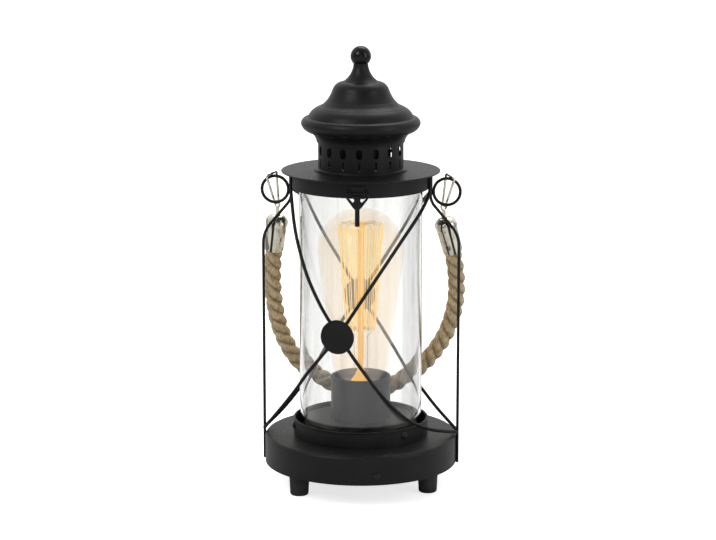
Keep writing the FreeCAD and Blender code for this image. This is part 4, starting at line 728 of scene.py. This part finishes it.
# ---------------------------------------------------------------- what glows in the bulb
BULB_FOOT = 54.8 * MM
CAGE_LOW = BULB_FOOT + 62.0 * MM
CAGE_HIGH = CAGE_LOW + 76.0 * MM
CAGE_TOP_RADIUS = 16.5 * MM
CAGE_FOOT_RADIUS = 10.7 * MM
THREADS = 20
THREAD_SEED = 7
THREAD_STEPS = 14
THREAD_SLACK = 0.35 * MM
BEND_STEPS = 6
BEND_LIFT = 0.8 * MM
FILAMENT_THICK = 0.27 * MM
SUPPORT_THICK = 0.2 * MM
STEM_TOP = CAGE_HIGH + 1.2 * MM
STEM_RADIUS = 1.5 * MM
SPOKE_BEND = 0.6
SPOKE_ARCH = 0.9 * MM
SPOKE_HOOK = 0.6 * MM
LEAD_SHARES = (0.2, 0.7)
LEAD_STEPS = 7
LEAD_SPREAD = 0.5
LEAD_STEP = 5.4 * MM
EMBER_SEGMENTS = 64
EMBER_TINT = (1.0, 0.95, 0.76, 1)
EMBER_GLOW = (1.0, 0.7, 0.32, 1)
EMBER_SHARE = 0.07


def wavering(low, high, seed):
    """A nearly straight line from low to high, with the slight slack of a hot thread."""
    side = Vector((seed.uniform(-1, 1), seed.uniform(-1, 1), 0)) * THREAD_SLACK
    return [low.lerp(high, step / THREAD_STEPS) + side * math.sin(math.pi * step / THREAD_STEPS)
            for step in range(THREAD_STEPS + 1)]


def make_filament():
    """Twenty long threads in a cage that narrows downwards, joined by small bends above and below."""
    seed = random.Random(THREAD_SEED)
    lines = []
    for index in range(THREADS):
        share = (index + 0.5) / THREADS
        low = ring_point(CAGE_FOOT_RADIUS, share, CAGE_LOW)
        lines.append(wavering(low, ring_point(CAGE_TOP_RADIUS, share, CAGE_HIGH), seed))
        above = index % 2
        radius, height = (CAGE_TOP_RADIUS, CAGE_HIGH) if above else (CAGE_FOOT_RADIUS, CAGE_LOW)
        lift = BEND_LIFT if above else -BEND_LIFT
        lines.append([ring_point(radius, share + step / BEND_STEPS / THREADS,
                                 height + lift * math.sin(math.pi * step / BEND_STEPS))
                      for step in range(BEND_STEPS + 1)])
    filament = thread("lit_filament", lines, FILAMENT_THICK)
    filament.visible_glossy = False
    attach(filament, "lamp")
    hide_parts("bulb_filament")
    filament.data.materials.append(FINISHES["filament"])


def make_supports():
    """Thin wire spokes from the glass rod to each bend, and the two lead wires under the cage."""
    lines = []
    for index in range(THREADS // 2):
        upper = (2 * index + 2) / THREADS
        lower = (2 * index + 1) / THREADS
        lines.append([ring_point(STEM_RADIUS, upper, STEM_TOP),
                      ring_point(CAGE_TOP_RADIUS * SPOKE_BEND, upper, STEM_TOP + SPOKE_ARCH),
                      ring_point(CAGE_TOP_RADIUS, upper, CAGE_HIGH + SPOKE_HOOK)])
        lines.append([ring_point(STEM_RADIUS, lower, CAGE_LOW),
                      ring_point(CAGE_FOOT_RADIUS, lower, CAGE_LOW - SPOKE_HOOK)])
    for share in LEAD_SHARES:
        radii = [CAGE_FOOT_RADIUS] + [CAGE_FOOT_RADIUS * LEAD_SPREAD] * (LEAD_STEPS - 1)
        lines.append([ring_point(radius, share, CAGE_LOW - step * LEAD_STEP)
                      for step, radius in enumerate(radii)])
    supports = thread("lit_supports", lines, SUPPORT_THICK)
    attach(supports, "lamp")
    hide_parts("filament_supports")
    supports.data.materials.append(SUPPORT_GLOW)


def make_ember():
    """The warm light that hangs between the threads, as a see-through golden sleeve."""
    material, tree, out = bare("ember")
    tint = add(tree, "ShaderNodeBsdfTransparent", {"Color": EMBER_TINT})
    warm = add(tree, "ShaderNodeEmission", {"Color": EMBER_GLOW})
    both = mix_shaders(tree, EMBER_SHARE, tint, warm)
    feed(tree, out, {"Surface": both.outputs[0]})
    rows = ((CAGE_FOOT_RADIUS, CAGE_LOW), (CAGE_TOP_RADIUS, CAGE_HIGH))
    vertices = [ring_point(radius, turn / EMBER_SEGMENTS, height)
                for radius, height in rows for turn in range(EMBER_SEGMENTS)]
    faces = [(turn, (turn + 1) % EMBER_SEGMENTS, (turn + 1) % EMBER_SEGMENTS + EMBER_SEGMENTS,
              turn + EMBER_SEGMENTS) for turn in range(EMBER_SEGMENTS)]
    ember = mesh_object("ember", vertices, faces)
    ember.data.shade_smooth()
    ember.data.materials.append(material)
    ember.visible_glossy = False
    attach(ember, "lamp")


# ---------------------------------------------------------------- coats and small fittings
# Each coat: the nodes it covers, their body, their slot and its thickness.
COATS = (
    (("front_wire_falling", "front_wire_rising", "rear_wire_falling", "rear_wire_rising"),
     "lamp", "black_enamel", 0.3 * MM),
    (("left_upright", "right_upright", "left_ring", "right_ring"), "lamp", "black_enamel", 0.12 * MM),
    (("left_link", "right_link"), "handle", "warm_nickel", 0.12 * MM),
)
# Closed profiles of (radius, height) in mm: the fillet lies on the roof's seam, its ends in the metal.
ROOF_FILLET = [
    (24.0, 283.5), (25.0, 282.95), (25.75, 282.15), (26.5, 281.4), (27.35, 280.7), (28.35, 280.08),
    (29.5, 279.52), (30.7, 279.0), (31.7, 278.5), (32.4, 277.7), (29.0, 277.4), (25.6, 279.8),
]
DRAUGHT_TUBE = [(16.9, 235.0), (17.5, 235.0), (17.5, 253.5), (16.9, 253.5)]
# The latch's tongue in mm: its outline across and up, and its front and back.
TONGUE_OUTLINE = [(0.8, 216.4), (4.0, 216.4), (5.1, 222.6), (-0.3, 222.6)]
TONGUE_FACES = (-52.25, -51.55)


def coated(node, body, thickness):
    """The node's own shape under a coat of enamel, which makes thin wire stouter."""
    source = nodes[node]
    mesh = source.data.copy()
    mesh.name = f"coated_{node}"
    normals = [vertex.normal.copy() for vertex in mesh.vertices]
    for vertex, normal in zip(mesh.vertices, normals):
        vertex.co += normal * thickness
    item = bpy.data.objects.new(f"coated_{node}", mesh)
    bpy.context.scene.collection.objects.link(item)
    item.matrix_world = source.matrix_world
    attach(item, body)
    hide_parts(node)


def in_metres(profile):
    """A profile given in mm, in metres."""
    return [(radius * MM, height * MM) for radius, height in profile]


def make_fittings():
    """The coats, the bead that smooths the roof's seam, the draught tube and the latch's tongue."""
    for covered, body, slot, thickness in COATS:
        for node in covered:
            coated(node, body, thickness)
    turned("roof_fillet", in_metres(ROOF_FILLET), "lid", "black_enamel").data.shade_smooth()
    turned("draught_tube", in_metres(DRAUGHT_TUBE), "lid", "black_enamel")
    vertices = [(x * MM, y * MM, z * MM) for y in TONGUE_FACES for x, z in TONGUE_OUTLINE]
    sides = [(index, index + 4, (index + 1) % 4 + 4, (index + 1) % 4) for index in range(4)]
    tongue = mesh_object("latch_tongue", vertices, [(0, 1, 2, 3), (7, 6, 5, 4)] + sides)
    tongue.data.materials.append(FINISHES["dark_steel"])
    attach(tongue, "latch")


# ---------------------------------------------------------------- the scene
make_camera()
make_world()
make_filament()
make_supports()
make_ember()
make_fittings()
rope, rope_length, rope_path = rope_object()
rope.data.materials.append(FINISHES["jute"])
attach(rope, "handle")
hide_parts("rope")
dress()
make_floor()
for light in LIGHTS:
    area_light(*light)
bulb_glow((CAGE_LOW + CAGE_HIGH) / 2)

bpy.context.scene.view_settings.view_transform = "Standard"
